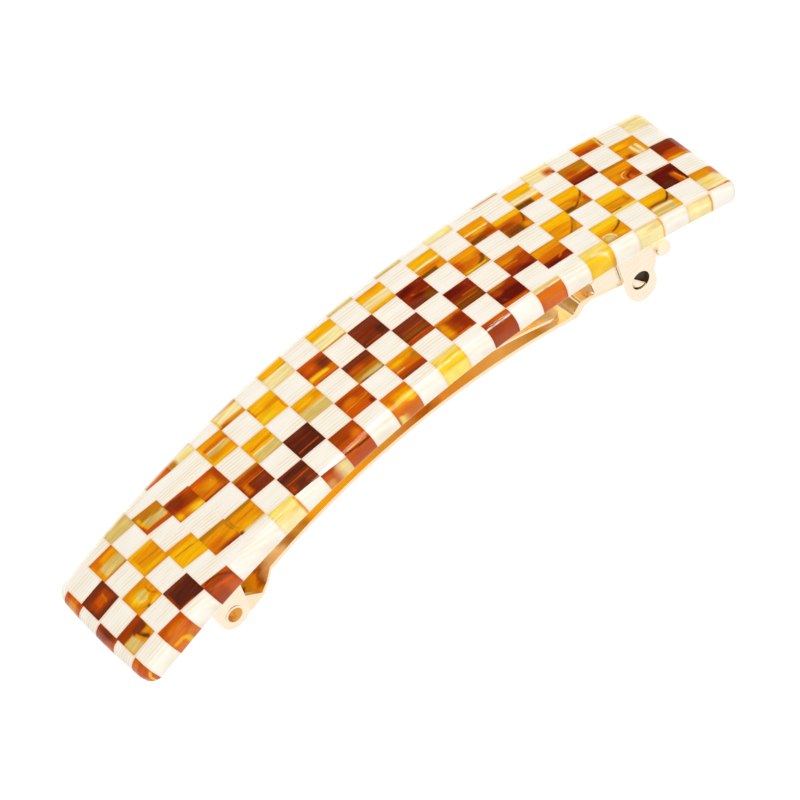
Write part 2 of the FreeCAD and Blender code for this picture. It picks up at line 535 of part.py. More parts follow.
# ------------------------------------------------------------ 8. latch rivet
wax = V(nx_, 0, nz_)
wrot = FreeCAD.Rotation(V(0, 0, 1), wax)
r0 = V(rx, 0, rz)
shank = doc.addObject("Part::Cylinder", "rivet_shank_body")
shank.setExpression("Radius", "Dims.rivet_shank")
shank.setExpression("Height", "Dims.arm_thick + Dims.latch_thick")
shank.Placement = FreeCAD.Placement(r0 - wax * AT, wrot)
heads = [shank]
for tag, off in (("low", -AT - D["rivet_headthick"]), ("top", lt)):
    hd = doc.addObject("Part::Cylinder", "rivet_head_" + tag)
    hd.setExpression("Radius", "Dims.rivet_head")
    hd.setExpression("Height", "Dims.rivet_headthick")
    hd.Placement = FreeCAD.Placement(r0 + wax * off, wrot)
    heads.append(hd)
rv = doc.addObject("Part::MultiFuse", "rivet_blank")
rv.Shapes = heads
doc.recompute()
rivet = doc.addObject("Part::Fillet", "latch_rivet")
rivet.Label = "latch_rivet"
rivet.Base = rv
rim = lambda e: len(e.Vertexes) == 1 and any(abs((mid(e) - r0).dot(wax) - t) < 1e-3 for t in
                                             (-AT - D["rivet_headthick"], lt + D["rivet_headthick"]))
rivet.Edges = [(i + 1, 0.25, 0.25) for i, e in enumerate(rv.Shape.Edges) if rim(e)]

# ----------------------------------------------------- 9, 10. release tabs
# The two cheeks of the latch spring: each carries a barb that sits in the
# hole of a clasp ear and a rounded pad that the finger squeezes.
sp_top = lambda x: web_top(x) + lt / cw
kx, kz, kr = D["knob_posx"], D["knob_posz"], D["knob_round"]


def tab(label, sign):
    body = new_body(label)
    off = -sign * D["tab_mid"]               # the XZ plane's normal is -Y
    s = new_sketch(body, label + "_outline", "XZ_Plane", off,
                   "%s Dims.tab_mid" % ("" if sign < 0 else "-1 *"))
    pts = [(28.2, sp_top(28.2) + 0.12), (32.75, sp_top(32.75) + 0.12), (33.05, 2.35), (33.9, 1.9), (36.2, 1.95),
           (37.25, 2.6), (37.8, 3.4), (38.0, kz - 1.12)]
    top = [(37.2, kz + 1.0), (36.3, 7.6), (34.0, 8.1), (28.9, 8.6), (28.2, 8.1)]
    tan_low = (kx - 0.25, kz - math.sqrt(kr ** 2 - 0.25 ** 2))
    tan_top = (kx - 0.25, kz + math.sqrt(kr ** 2 - 0.25 ** 2))
    aL = math.degrees(math.atan2(tan_low[1] - kz, tan_low[0] - kx))
    aT = math.degrees(math.atan2(tan_top[1] - kz, tan_top[0] - kx))
    chain = pts + [tan_low]
    items = [("L", a[0], a[1], b[0], b[1]) for a, b in zip(chain, chain[1:])]
    items.append(("A", kx, kz, kr, aL, aT))
    chain = [tan_top] + top + [pts[0]]
    items += [("L", a[0], a[1], b[0], b[1]) for a, b in zip(chain, chain[1:])]
    g = put(s, items)
    n = len(pts)
    hold(s, g[n], 3, kx, kz, "Dims.knob_posx", "Dims.knob_posz")
    dim(s, "Radius", (g[n],), "Dims.knob_round", kr)
    pad(body, label + "_sheet", s, "Dims.tab_thick", D["tab_thick"])
    s = new_sketch(body, label + "_knob", "XZ_Plane", -sign * D["knob_mid"],
                   "%s Dims.knob_mid" % ("" if sign < 0 else "-1 *"))
    g = put(s, [("C", kx, kz, kr)])
    hold(s, g[0], 3, kx, kz, "Dims.knob_posx", "Dims.knob_posz")
    dim(s, "Radius", (g[0],), "Dims.knob_round", kr)
    pad(body, label + "_knob_pad", s, "Dims.knob_thick", D["knob_thick"])
    s = new_sketch(body, label + "_barb", "XZ_Plane", -sign * D["barb_mid"],
                   "%s Dims.barb_mid" % ("" if sign < 0 else "-1 *"))
    br, bc, hx2, hz2 = D["barb_round"], D["barb_chord"], D["clasp_holex"], D["clasp_holez"]
    tilt, half_a = 35.0, math.degrees(math.acos(-bc / br))
    a_0, a_1 = 180 + tilt - half_a, 180 + tilt + half_a
    e0 = (hx2 + br * math.cos(math.radians(a_0)), hz2 + br * math.sin(math.radians(a_0)))
    e1 = (hx2 + br * math.cos(math.radians(a_1)), hz2 + br * math.sin(math.radians(a_1)))
    g = put(s, [("A", hx2, hz2, br, a_0, a_1), ("L", e1[0], e1[1], e0[0], e0[1])])
    hold(s, g[0], 3, hx2, hz2, "Dims.clasp_holex", "Dims.clasp_holez")
    dim(s, "Radius", (g[0],), "Dims.barb_round", br)
    pad(body, label + "_barb_pad", s, "Dims.barb_thick", D["barb_thick"])
    yk = D["knob_mid"] + D["knob_thick"] / 2
    yb = D["barb_mid"] + D["barb_thick"] / 2
    edge_round(body, label + "_knob_dome", 0.6, None, lambda e: abs(abs(mid(e).y) - yk) < 1e-3)
    edge_round(body, label + "_barb_bevel", D["barb_bevel"], "Dims.barb_bevel",
               lambda e: abs(abs(mid(e).y) - yb) < 1e-3 and mid(e).x < 36, chamfer=True)
    return body


near = tab("release_tab_near", -1)
far = tab("release_tab_far", 1)

doc.recompute()

# ------------------------------------------------------------ check and write
NODES = [plate, base, pins, tube_r, arm, bow_b, latch, rivet, near, far]
for o in doc.Objects:
    bad = [x for x in o.State if x in ("Invalid", "Error")]
    assert not bad, "%s %s is %s" % (o.TypeId, o.Name, bad)
os.makedirs("parts", exist_ok=True)
for o in NODES:
    sh = o.Shape
    assert not sh.isNull() and sh.isValid() and sh.Volume > 0, o.Label
    bb = sh.BoundBox
    print("%-18s solids %d  volume %8.3f  X %.2f..%.2f  Y %.2f..%.2f  Z %.2f..%.2f" % (
        o.Label, len(sh.Solids), sh.Volume, bb.XMin, bb.XMax, bb.YMin, bb.YMax, bb.ZMin, bb.ZMax))
    sh.exportStep("parts/%s.step" % o.Label)
for i in range(len(NODES)):
    for j in range(i + 1, len(NODES)):
        a, b = NODES[i].Shape, NODES[j].Shape
        if a.BoundBox.intersect(b.BoundBox):
            v = a.common(b).Volume
            if v > 1e-4:
                print("overlap", NODES[i].Label, NODES[j].Label, round(v, 5))
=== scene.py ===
import math
import bpy
import bmesh
import numpy as np
from mathutils import Matrix, Vector


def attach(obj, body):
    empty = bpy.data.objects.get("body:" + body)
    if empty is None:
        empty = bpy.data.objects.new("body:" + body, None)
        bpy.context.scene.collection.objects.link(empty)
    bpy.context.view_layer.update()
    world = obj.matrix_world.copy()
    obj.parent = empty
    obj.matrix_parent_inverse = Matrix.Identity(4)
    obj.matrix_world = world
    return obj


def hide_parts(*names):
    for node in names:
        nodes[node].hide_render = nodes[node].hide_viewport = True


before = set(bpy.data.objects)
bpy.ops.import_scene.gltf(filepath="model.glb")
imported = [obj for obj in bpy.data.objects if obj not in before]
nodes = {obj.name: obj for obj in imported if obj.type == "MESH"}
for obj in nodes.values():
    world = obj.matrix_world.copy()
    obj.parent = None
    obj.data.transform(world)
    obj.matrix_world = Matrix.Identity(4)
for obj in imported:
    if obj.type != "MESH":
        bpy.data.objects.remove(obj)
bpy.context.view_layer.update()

# ------------------------------------------------------------------ camera
cam_data = bpy.data.cameras.new("camera")
cam_data.sensor_width = 36.0
cam_data.lens = 187.394
cam_data.clip_start = 0.01
cam_data.clip_end = 20.0
cam = bpy.data.objects.new("camera", cam_data)
bpy.context.scene.collection.objects.link(cam)
cx = (0.752436, -0.585643, -0.301432)
cy = (0.627014, 0.496712, 0.600109)
cz = (-0.201725, -0.640546, 0.740950)
loc = (-0.107633, -0.340736, 0.403622)
cam.matrix_world = Matrix(((cx[0], cy[0], cz[0], loc[0]), (cx[1], cy[1], cz[1], loc[1]),
                           (cx[2], cy[2], cz[2], loc[2]), (0, 0, 0, 1)))
bpy.context.scene.camera = cam

# ------------------------------------------------- plate geometry (in mm)
R, APEX, THK = 154.24, 20.4, 3.0
HALF_W, RT, RL = 10.5, 1.7, 0.5
END_L, END_R = 51.03, 51.46            # reach along the arc
BOW_L, BOW_R, RC_L, RC_R = 0.4, 0.12, 2.0, 1.4
PITCH = 4.0


def hash2(ix, iy, seed):
    h = np.sin(ix * 127.1 + iy * 311.7 + seed * 74.7) * 43758.5453
    return h - np.floor(h)


def vnoise(x, y, seed):
    """Value noise, 0 to 1."""
    x, y = np.asarray(x, float), np.asarray(y, float)
    ix, iy = np.floor(x), np.floor(y)
    fx, fy = x - ix, y - iy
    fx, fy = fx * fx * (3 - 2 * fx), fy * fy * (3 - 2 * fy)
    a = hash2(ix, iy, seed) * (1 - fx) + hash2(ix + 1, iy, seed) * fx
    b = hash2(ix, iy + 1, seed) * (1 - fx) + hash2(ix + 1, iy + 1, seed) * fx
    return a * (1 - fy) + b * fy


def fbm(x, y, seed, octaves=3):
    t, amp, tot = 0.0, 1.0, 0.0
    for k in range(octaves):
        t = t + amp * vnoise(x * 2 ** k, y * 2 ** k, seed + 13 * k)
        tot += amp
        amp *= 0.5
    return t / tot


def smooth(a, b, x):
    t = np.clip((x - a) / (b - a), 0, 1)
    return t * t * (3 - 2 * t)


def lin(rgb):
    c = np.asarray(rgb, float) / 255.0
    return np.where(c <= 0.04045, c / 12.92, ((c + 0.055) / 1.055) ** 2.4)


# Acetate tones, from near black to cream
TONE = {k: lin(v) for k, v in {
    "K": (94, 41, 27), "D": (126, 54, 27), "N": (102, 24, 4), "Z": (142, 45, 7), "R": (172, 69, 11), "U": (206, 90, 8),
    "O": (224, 118, 4), "A": (238, 157, 4), "H": (253, 189, 8), "Y": (255, 210, 36), "P": (254, 228, 114),
    "C": (254, 238, 174), "W": (254, 248, 228), "L": (130, 76, 8), "G": (200, 128, 22), "S": (224, 198, 116)}.items()}

# Each strip of the laminate between two glue lines: its slant (mm over its
# width) and its tortoise blocks from far to near: far edge, near edge, the
# bands of tone from far to near (tone, then where it ends), and what shows in it.
# The bands hold the acetate's own tone, split into a deeper far zone and a paler
# near zone that are painted light seen through the block. The thin pale lines are
# painted highlights, and the curved dark strokes of strips 1 to 7 paint the clip's
# dark shape seen through the block.
STRIPS = {
    -16: (0.0, [(8.2, 4.6, "U.25 O.7 U", [("blob", "A", .55, .5, .3, .35)]),
                (0.6, -3.4, "R.5 U", [("blob", "D", .9, .5, .2, .5)]),
                (-7.4, -11.4, "O.3 U", [("line", "Y", .66, .02, .3, .95)])]),
    -15: (-0.15, [(5.0, 1.0, "D.3 D.75 D", [("patch", "R", .12, .9, .3, .8, .1), ("patch", "U", .3, .7, .4, .72, .05), ("stroke", "G", .68, .4, .58, .74, 0, 0.02)]),
                  (-3.1, -7.1, "R.2 R.42 A", [("patch", "S", .06, .5, .42, .97, .06), ("patch", "D", .5, 1., .26, .62, .08), ("stroke", "D", .5, .4, .82, .95, 0, 0.07),
                                             ("stroke", "A", .5, .5, .66, .98, 0, 0.05)])]),
    -14: (-0.5, [(7.85, 4.05, "O.14 A.42 A", [("patch", "S", .18, 1.0, .46, .9, .04), ("blob", "O", .2, .25, .2, .2), ("line", "G", .95, .03, .2, 1.)]),
                 (0.15, -4.0, "A.15 A.9 A", [("blob", "Y", .45, .5, .36, .28), ("blob", "S", .5, .46, .2, .17), ("stroke", "C", .3, .55, .62, .62, 0.1, 0.02), ("stroke", "G", .2, .78, .62, .84, 0.08, 0.02),
                                             ("stroke", "O", .78, .3, .9, .8, 0.06, 0.03), ("blob", "Y", .7, .92, .22, .07), ("blob", "L", .44, .94, .07, .06)]),
                 (-8.0, -12.0, "U.1 U.5 O", [("blob", "O", .5, .35, .4, .2), ("line", "H", .63, .016, .05, .95)])]),
    -13: (-0.7, [(11.4, 7.2, "H.42 S", [("line", "G", .5, .03, .05, .3)]),
                 (3.55, -0.6, "H.12 A.42 A", [("line", "O", .47, .025, .14, .96), ("blob", "H", .06, .5, .08, .5), ("blob", "H", .5, .82, .5, .12)]),
                 (-4.6, -8.5, "K.3 K", [("blob", "R", .04, .5, .07, .5), ("blob", "D", .5, .06, .5, .12), ("blob", "U", .4, .99, .3, .06)])]),
    -12: (-0.95, [(7.25, 3.5, "G.42 U", [("patch", "S", .12, .98, .4, .78, .05), ("stroke", "H", .1, .2, .2, .75, 0.05, 0.06), ("line", "G", .42, .02, .1, .9)]),
                  (-0.6, -4.6, "A.2 H.42 H", [("line", "G", .44, .02, .05, .95), ("blob", "A", .5, .12, .5, .16)]),
                  (-8.5, -12.5, "U.15 R.25 R", [("stroke", "D", .1, .1, .98, .3, -0.1, 0.035), ("line", "U", .35, .03, .1, .9), ("blob", "U", .8, .5, .3, .2)])]),
    -11: (-0.75, [(12.4, 8.65, "S.5 U.85 U", [("blob", "O", .5, .9, .5, .1)]),
                  (4.9, 0.85, "U.1 R.3 R.62 O", [("blob", "Z", .35, .35, .4, .3), ("blob", "Y", .80, .88, .45, .16), ("blob", "H", .12, .82, .12, .15), ("blob", "D", .3, .18, .4, .14)]),
                  (-3.1, -7.05, "G.2 A.42 A.78 O", [("blob", "Z", .65, .97, .45, .14), ("blob", "O", .3, .6, .4, .2), ("stroke", "G", .92, .2, .97, .6, 0.04, 0.03)])]),
    -10: (-0.5, [(12.0, 8.05, "U.6 C", [("blob", "P", .7, .93, .4, .08), ("blob", "G", .12, .85, .2, .3)]),
                 (4.05, 0.15, "U.2 O.8 O", [("blob", "P", .5, .44, .04, .05), ("blob", "P", .4, .54, .03, .035), ("blob", "C", .6, .38, .025, .04),
                                            ("blob", "A", .5, .5, .34, .2), ("patch", "Z", .0, .85, .92, 1., .03), ("blob", "R", .9, .5, .2, .5)]),
                 (-3.95, -7.75, "G.15 A.92 C", [("blob", "D", .05, .95, .12, .1), ("stroke", "G", .08, .2, .14, .7, 0.06, 0.025), ("line", "O", .46, .02, .1, .9), ("blob", "H", .5, .78, .4, .1)])]),
    -9: (-0.5, [(7.55, 3.3, "A.25 O.42 A", [("patch", "S", .08, 1., .44, .6, .03), ("line", "C", .43, .016, .1, .9), ("line", "H", .92, .06, .0, 1.), ("blob", "H", .04, .5, .06, .5)]),
                (-0.6, -4.75, "G.1 R.4 Z", [("patch", "O", .06, .26, .40, .85, .08), ("line", "U", .34, .03, .1, .9), ("blob", "D", .7, .7, .4, .3), ("line", "O", .42, .015, .2, .95)]),
                (-8.5, -12.5, "P.2 P.4 C", [("line", "C", .3, .02, .0, 1.), ("stroke", "A", .96, .1, .99, .7, 0, 0.04)])]),
    -8: (-0.4, [(11.0, 6.75, "G.42 C.82 A", [("blob", "U", .15, .97, .3, .1), ("line", "H", .43, .02, .1, 1.), ("stroke", "Y", .03, .3, .06, .9, 0, 0.03)]),
                (2.5, -1.6, "H.3 A.42 H.6 S", [("line", "C", .6, .02, .06, .95), ("line", "O", .42, .02, .1, .9), ("stroke", "H", .04, .55, .05, .95, 0, 0.04)]),
                (-5.5, -9.4, "D.1 K.35 D.5 D", [("line", "U", .5, .018, .05, .95), ("patch", "K", .35, .66, .62, .9, .08), ("blob", "R", .12, .8, .1, .2)])]),
    -7: (-0.35, [(6.4, 2.25, "H.4 A.52 H", [("patch", "A", .45, 1., .3, .55, .1), ("blob", "Y", .3, .8, .35, .18), ("stroke", "O", .03, .05, .06, .5, 0, 0.03), ("stroke", "O", .95, .5, .97, 1., 0, 0.02)]),
                 (-1.75, -5.85, "K.25 K.35 K", [("line", "Z", .4, .03, .1, .9), ("line", "U", .76, .02, .1, .9), ("blob", "D", .4, .1, .5, .12)]),
                 (-9.85, -13.9, "R.10 U.2 P", [("blob", "C", .85, .14, .42, .16)])]),
    -6: (-0.3, [(9.85, 5.8, "H.44 C.96 P", [("line", "A", .42, .02, .0, 1.)]),
                (1.65, -2.4, "H.1 A.46 S", [("blob", "H", .4, .25, .4, .15), ("blob", "A", .85, .3, .2, .2)]),
                (-6.5, -10.5, "R.3 R.5 U.8 U", [("blob", "O", .75, .5, .2, .2), ("line", "K", .86, .02, .0, 1.), ("line", "H", .8, .012, .1, .9)])]),
    -5: (-0.25, [(5.55, 1.35, "U.15 R.42 R.6 O", [("patch", "Y", .05, .78, .64, .79, .03), ("blob", "D", .78, .42, .22, .3), ("blob", "U", .3, .3, .3, .2), ("line", "R", .98, .03, .2, 1.)]),
                 (-2.8, -6.75, "U.1 R.4 U", [("stroke", "A", .05, .6, .95, .52, 0.03, 0.015), ("blob", "Z", .9, .88, .14, .16), ("blob", "O", .35, .4, .3, .2), ("line", "O", .7, .012, .4, .95)])]),
    -4: (-0.2, [(8.8, 4.95, "H.42 C.92 H", [("line", "G", .96, .03, .0, 1.)]),
                (0.8, -3.3, "D.3 R.6 G", [("line", "K", .97, .03, .1, 1.), ("blob", "U", .3, .45, .3, .15), ("blob", "S", .6, .88, .5, .10)]),
                (-7.35, -11.4, "O.2 A.4 H.62 O", [("blob", "Y", .75, .5, .25, .16), ("line", "P", .79, .012, .1, .9), ("blob", "O", .15, .3, .15, .3)])]),
    -3: (-0.15, [(12.6, 8.75, "S.5 S", []),
                 (4.75, 0.65, "D.4 D.8 D", [("line", "Z", .5, .06, .1, .8), ("patch", "K", .7, 1., .5, .9, .1), ("line", "R", .88, .03, .1, .7)]),
                 (-3.45, -7.35, "A.38 O.72 R", [("blob", "G", .9, .4, .14, .25), ("line", "P", .62, .01, .05, .4), ("blob", "D", .4, .98, .4, .1), ("blob", "H", .3, .3, .25, .12)])]),
    -2: (-0.1, [(8.3, 4.55, "A.12 H.4 C.78 H", [("line", "O", .99, .02, .0, 1.)]),
                (0.3, -3.85, "D.3 D.55 R", [("line", "R", .42, .03, .1, .95), ("line", "L", .6, .05, .0, 1.), ("line", "D", .74, .05, .0, 1.), ("line", "U", .82, .02, .0, 1.)]),
                (-7.9, -11.9, "P.2 Y.6 P", [("stroke", "P", .1, .3, .9, .2, -0.06, 0.04), ("line", "C", .38, .012, .0, 1.)])]),
    -1: (-0.1, [(12.6, 8.8, "S.5 S", []),
                (4.8, 0.65, "Z.4 Z.75 D", [("stroke", "U", .35, .45, .95, .55, 0.05, 0.025), ("blob", "N", .3, .2, .4, .2), ("blob", "L", .8, .85, .25, .22), ("blob", "N", .5, .6, .3, .12)]),
                (-3.5, -7.4, "O.15 R.7 R", [("blob", "A", .16, .6, .2, .5), ("blob", "Z", .75, .4, .28, .35), ("blob", "Z", .8, .75, .25, .2), ("line", "O", .97, .04, .0, .8)])]),
    0: (-0.1, [(7.65, 3.9, "H.1 H.42 P.54 A", [("patch", "L", .0, .62, .80, 1.05, .03), ("line", "W", .48, .016, .1, .9), ("blob", "O", .5, .7, .5, .12)]),
               (-0.2, -4.3, "Z.2 Z.5 Z", [("line", "L", .62, .05, .0, 1.), ("line", "U", .70, .02, .0, .9), ("line", "L", .86, .07, .0, 1.), ("blob", "N", .3, .2, .5, .2), ("line", "U", .52, .02, .4, 1.)]),
               (-8.35, -12.4, "U.15 R.3 R", [("blob", "O", .6, .12, .4, .08), ("line", "W", .27, .012, .0, 1.)])]),
    1: (-0.1, [(12.0, 8.05, "W.45 G.5 C", [("blob", "P", .9, .9, .2, .1)]),
               (3.95, -0.1, "A.3 O.8 G", [("blob", "A", .6, .3, .3, .2), ("stroke", "L", .98, .5, .66, .84, -0.06, 0.06), ("line", "Y", .9, .025, .05, .85), ("blob", "U", .1, .45, .16, .3)]),
               (-4.3, -8.4, "R.12 Z.36 N.84 U", [("blob", "G", .35, .06, .35, .09), ("blob", "R", .2, .3, .2, .16), ("line", "O", .92, .03, .2, .9), ("blob", "N", .6, .6, .4, .2)])]),
    2: (-0.1, [(7.25, 3.45, "A.1 A.4 O", [("line", "C", .42, .024, .0, .92), ("patch", "L", .0, .56, .74, 1.05, .05), ("line", "H", .36, .03, .0, 1.), ("blob", "R", .7, .8, .3, .2), ("blob", "H", .5, .55, .3, .08)]),
               (-0.65, -4.75, "G.08 O.3 R.5 R.7 Z", [("blob", "A", .3, .32, .35, .1), ("line", "O", .52, .025, .0, .6), ("blob", "N", .6, .95, .4, .12), ("blob", "R", .7, .7, .2, .1)]),
               (-8.8, -12.9, "P.12 O.30 U", [("line", "W", .14, .02, .0, 1.), ("blob", "O", .6, .34, .7, .10)])]),
    3: (-0.08, [(12.9, 9.0, "U.5 S", [("patch", "G", .0, 1., .93, 1., .05)]),
                (5.05, 1.0, "H.25 O.55 O", [("patch", "L", .0, .7, .62, 1.05, .10), ("stroke", "L", 1., .25, .8, .66, -0.06, 0.035), ("blob", "R", .3, .5, .4, .15), ("line", "Z", .84, .03, .1, .5), ("blob", "A", .85, .85, .14, .12)]),
                (-3.1, -7.1, "A.2 A.35 O.7 Z", [("stroke", "O", .98, .35, .6, .8, -0.06, 0.03), ("blob", "O", .75, .6, .2, .1), ("blob", "N", .3, .95, .4, .12)])]),
    4: (-0.08, [(8.0, 4.25, "H.12 H.42 C.7 A", [("patch", "L", .0, .66, .76, 1.05, .03), ("stroke", "C", .88, .62, .98, .2, 0.03, 0.05), ("line", "W", .66, .02, .05, .8)]),
                (0.1, -4.0, "H.46 A", [("stroke", "L", .99, .38, .5, .99, -0.06, 0.035), ("line", "O", .47, .014, .0, .8), ("stroke", "G", .94, .5, .66, .97, -0.06, 0.06)]),
                (-8.0, -12.1, "P.3 Y.5 Y", [("stroke", "C", .3, .3, .8, .5, -0.06, 0.05), ("blob", "A", .95, .8, .14, .3)])]),
    5: (-0.08, [(11.0, 6.95, "W.3 C.75 C", [("patch", "U", .6, 1., .66, 1., .14), ("stroke", "C", .5, .98, .66, .4, -0.06, 0.06), ("blob", "R", .95, .95, .1, .1)]),
                (3.1, -0.9, "H.3 H.46 A.8 G", [("stroke", "L", .99, .3, .36, .88, -0.06, 0.035), ("patch", "L", .0, .36, .78, .97, .04), ("line", "O", .46, .014, .0, .7), ("blob", "U", .9, .75, .1, .2), ("blob", "O", .6, .6, .2, .12)]),
                (-5.05, -9.05, "Y.3 H.42 A", [("stroke", "L", .98, .32, .5, .62, -0.06, 0.035), ("patch", "S", .06, .38, .7, .96, .04), ("stroke", "C", .06, .66, .44, .92, -0.16, 0.03), ("blob", "H", .7, .85, .2, .1)])]),
    6: (-0.06, [(6.7, 2.9, "G.12 G.5 U.62 Z", [("stroke", "A", .1, .52, .95, .44, 0.05, 0.025), ("blob", "U", .3, .4, .3, .2), ("blob", "R", .3, .66, .4, .08), ("line", "N", .96, .04, .0, 1.), ("blob", "G", .9, .2, .1, .3)]),
                (-1.2, -5.2, "Y.2 H.42 A.86 P", [("stroke", "G", .8, .45, .9, .7, 0.03, 0.05), ("line", "L", .84, .02, .0, .4), ("line", "G", .46, .014, .0, .7), ("line", "G", .72, .014, .2, .9)]),
                (-9.3, -13.3, "C.15 C", [("stroke", "H", .97, .0, .99, .9, 0, 0.03)])]),
    7: (-0.06, [(10.9, 7.0, "W.35 C.45 A.7 U", [("patch", "P", .9, .97, .4, 1., .03), ("blob", "R", .3, .95, .35, .12)]),
                (2.9, -1.2, "G.12 A.44 O", [("blob", "R", .84, .72, .2, .28), ("stroke", "P", .42, .85, .62, .52, -0.14, 0.02), ("stroke", "Z", .55, .92, .78, .66, -0.1, 0.04), ("blob", "A", .2, .6, .2, .2)]),
                (-5.1, -9.4, "H.42 G.62 H", [("stroke", "K", .99, .22, .62, .56, -0.06, 0.035), ("stroke", "L", .7, .54, .1, .5, 0.02, 0.03), ("patch", "S", .02, .82, .68, .97, .03), ("patch", "C", .02, .82, .6, .7, .03)])]),
    8: (-0.05, [(6.1, 2.35, "A.1 A.38 A", [("blob", "R", .26, .9, .26, .14), ("stroke", "C", .56, .44, .66, .98, 0.02, 0.06), ("patch", "C", .74, .86, .42, 1., .03), ("line", "O", .4, .014, .0, .6), ("blob", "H", .3, .25, .3, .12)]),
                (-1.7, -5.75, "Z.15 N.5 N", [("blob", "L", .12, .08, .2, .12), ("patch", "U", .62, .84, .42, 1., .07), ("stroke", "A", .78, .5, .84, .97, 0, 0.03), ("blob", "K", .3, .8, .3, .2)]),
                (-9.75, -13.8, "C.2 C", [("stroke", "A", .97, .0, .99, .7, 0, 0.03)])]),
    9: (-0.05, [(10.55, 6.6, "C.3 C", [("blob", "H", .2, .16, .25, .07)]),
                (2.65, -1.45, "D.2 Z.38 Z.62 U.9 A", [("blob", "U", .5, .6, .4, .14), ("blob", "H", .4, .9, .3, .07)]),
                (-5.3, -9.5, "A.1 A.38 C.9 C", [("blob", "U", .92, .25, .22, .3), ("stroke", "O", .0, .98, 1., .92, 0.05, 0.03), ("blob", "P", .3, .6, .3, .2)])]),
}


# Where a tone band of one block ends, from far (0) to near (1); the bands carry the painted light seen through the
# block
def bands(text):
    out = []
    for w in text.split():
        out.append((TONE[w[0]], float("0" + w[1:]) if len(w) > 1 else 1.0))
    out[-1] = (out[-1][0], 1.01)
    return out


def paint(bl, extras, u, v, s, y, seed):
    """Colour of a tortoise block at its own u (along), v (far to near), with painted light: the far and near bands,
    pale highlight lines and a darker rim.
    """
    # lengthwise flow, as the drawn sheet shows it
    wob = 0.05 * (fbm(s * 0.35 + 3.1 * seed, y * 0.7, seed) - 0.5)
    # a slow drift keeps every edge inside the material soft and uneven
    wu = 0.11 * (fbm(u * 2.4 + 5.3 * seed, v * 2.4, seed + 21, 2) - 0.5)
    wv = 0.05 * (fbm(u * 2.4, v * 2.4 + 4.1 * seed, seed + 23, 2) - 0.5)
    gu, gv = u, v
    u = u + wu
    v = v + wv
    vv = v + wob
    col = np.zeros(u.shape + (3,)) + bl[0][0]
    for (c0, f0), (c1, _) in zip(bl, bl[1:]):
        w = 0.05
        k = smooth(f0 - w, f0 + w, vv)[..., None]
        col = col * (1 - k) + c1 * k
    for e in extras:
        c = TONE[e[1]]
        if e[0] == "patch":
            _, _, u0, u1, v0, v1, w = e
            w = max(w, 0.045)
            k = smooth(u0 - w, u0 + w, u) * (1 - smooth(u1 - w, u1 + w, u)) * smooth(v0 - w, v0 + w, vv) * (1 - smooth(v1 - w, v1 + w, vv))
        elif e[0] == "blob":
            _, _, bu, bv, ru, rv = e
            d = np.sqrt(((u - bu) / ru) ** 2 + ((v - bv) / rv) ** 2)
            k = 1 - smooth(0.30, 1.35, d + 0.35 * (fbm(u * 6, v * 6, seed + 5) - 0.5))
        elif e[0] == "line":
            _, _, lv, w, u0, u1 = e
            k = (1 - smooth(w * 0.6, w * 1.8, np.abs(vv - lv))) * smooth(u0 - .05, u0 + .05, u) * (1 - smooth(u1 - .05, u1 + .05, u))
        else:
            _, _, u0, v0, u1, v1, bulge, w = e
            du, dv = u1 - u0, v1 - v0
            ln = math.hypot(du, dv) + 1e-6
            t = ((u - u0) * du + (v - v0) * dv) / ln ** 2
            side = ((u - u0) * -dv + (v - v0) * du) / ln - bulge * 4 * t * (1 - t)
            k = (1 - smooth(w * 0.3, w * 1.9, np.abs(side))) * smooth(-.08, .04, t) * (1 - smooth(.96, 1.08, t))
        col = col * (1 - k[..., None]) + c * k[..., None]
    # fine flow streaks and a slow change of depth
    n1 = fbm(s * 0.45 + 7.7 * seed, y * 5.0 + 1.3 * seed, seed + 2, 3) - 0.5
    n2 = fbm(s * 0.5, y * 0.6, seed + 9, 2) - 0.5
    lum = col.max(-1, keepdims=True)
    gain = 1 + (0.55 * n1 + 0.35 * n2)[..., None] * (1.15 - 0.75 * lum)
    col = np.clip(col * gain, 0.004, 1.0)
    # painted shade: the tone is darkened a little near the block's edges, for the far wall of the block seen at its
    # edge
    edge_painted_shade = (1 - smooth(0.0, 0.10, np.minimum(np.minimum(gu, 1 - gu), np.minimum(gv, 1 - gv))))[..., None]
    return np.clip(col * (1 - 0.10 * edge_painted_shade), 0, 1)


# ------------------------------------------------------- outline of the plate
def s_limit(y, right):
    """How far along the arc the outline reaches at y."""
    a = np.abs(y)
    end, bow, rc = (END_R, BOW_R, RC_R) if right else (END_L, BOW_L, RC_L)
    k = np.clip(a - (HALF_W - rc), 0, rc)
    return end - bow * (a / HALF_W) ** 2 - (rc - np.sqrt(np.maximum(rc ** 2 - k ** 2, 0)))


def inset(s, y):
    """Distance in from the outline."""
    r = s > 0
    end, bow, rc = np.where(r, END_R, END_L), np.where(r, BOW_R, BOW_L), np.where(r, RC_R, RC_L)
    qx = np.abs(s) + bow * (np.abs(y) / HALF_W) ** 2 - (end - rc)
    qy = np.abs(y) - (HALF_W - rc)
    out = np.hypot(np.maximum(qx, 0), np.maximum(qy, 0))
    return rc - out - np.minimum(np.maximum(qx, qy), 0)


def drop(e):
    e = np.clip(e, 0, RT)
    return RT - np.sqrt(np.maximum(RT ** 2 - (RT - e) ** 2, 0))


def to_arc(y, lim=HALF_W):
    """Length along the section from the middle to y, over the rounded edge."""
    a, k = np.abs(y), lim - RT
    over = k + RT * np.arcsin(np.clip((a - k) / RT, 0, 1))
    return np.sign(y) * np.where(a > k, over, a)


def from_arc(q, lim=HALF_W):
    a, k = np.abs(q), lim - RT
    over = k + RT * np.sin(np.clip((a - k) / RT, 0, math.pi / 2))
    return np.sign(q) * np.where(a > k, over, a)


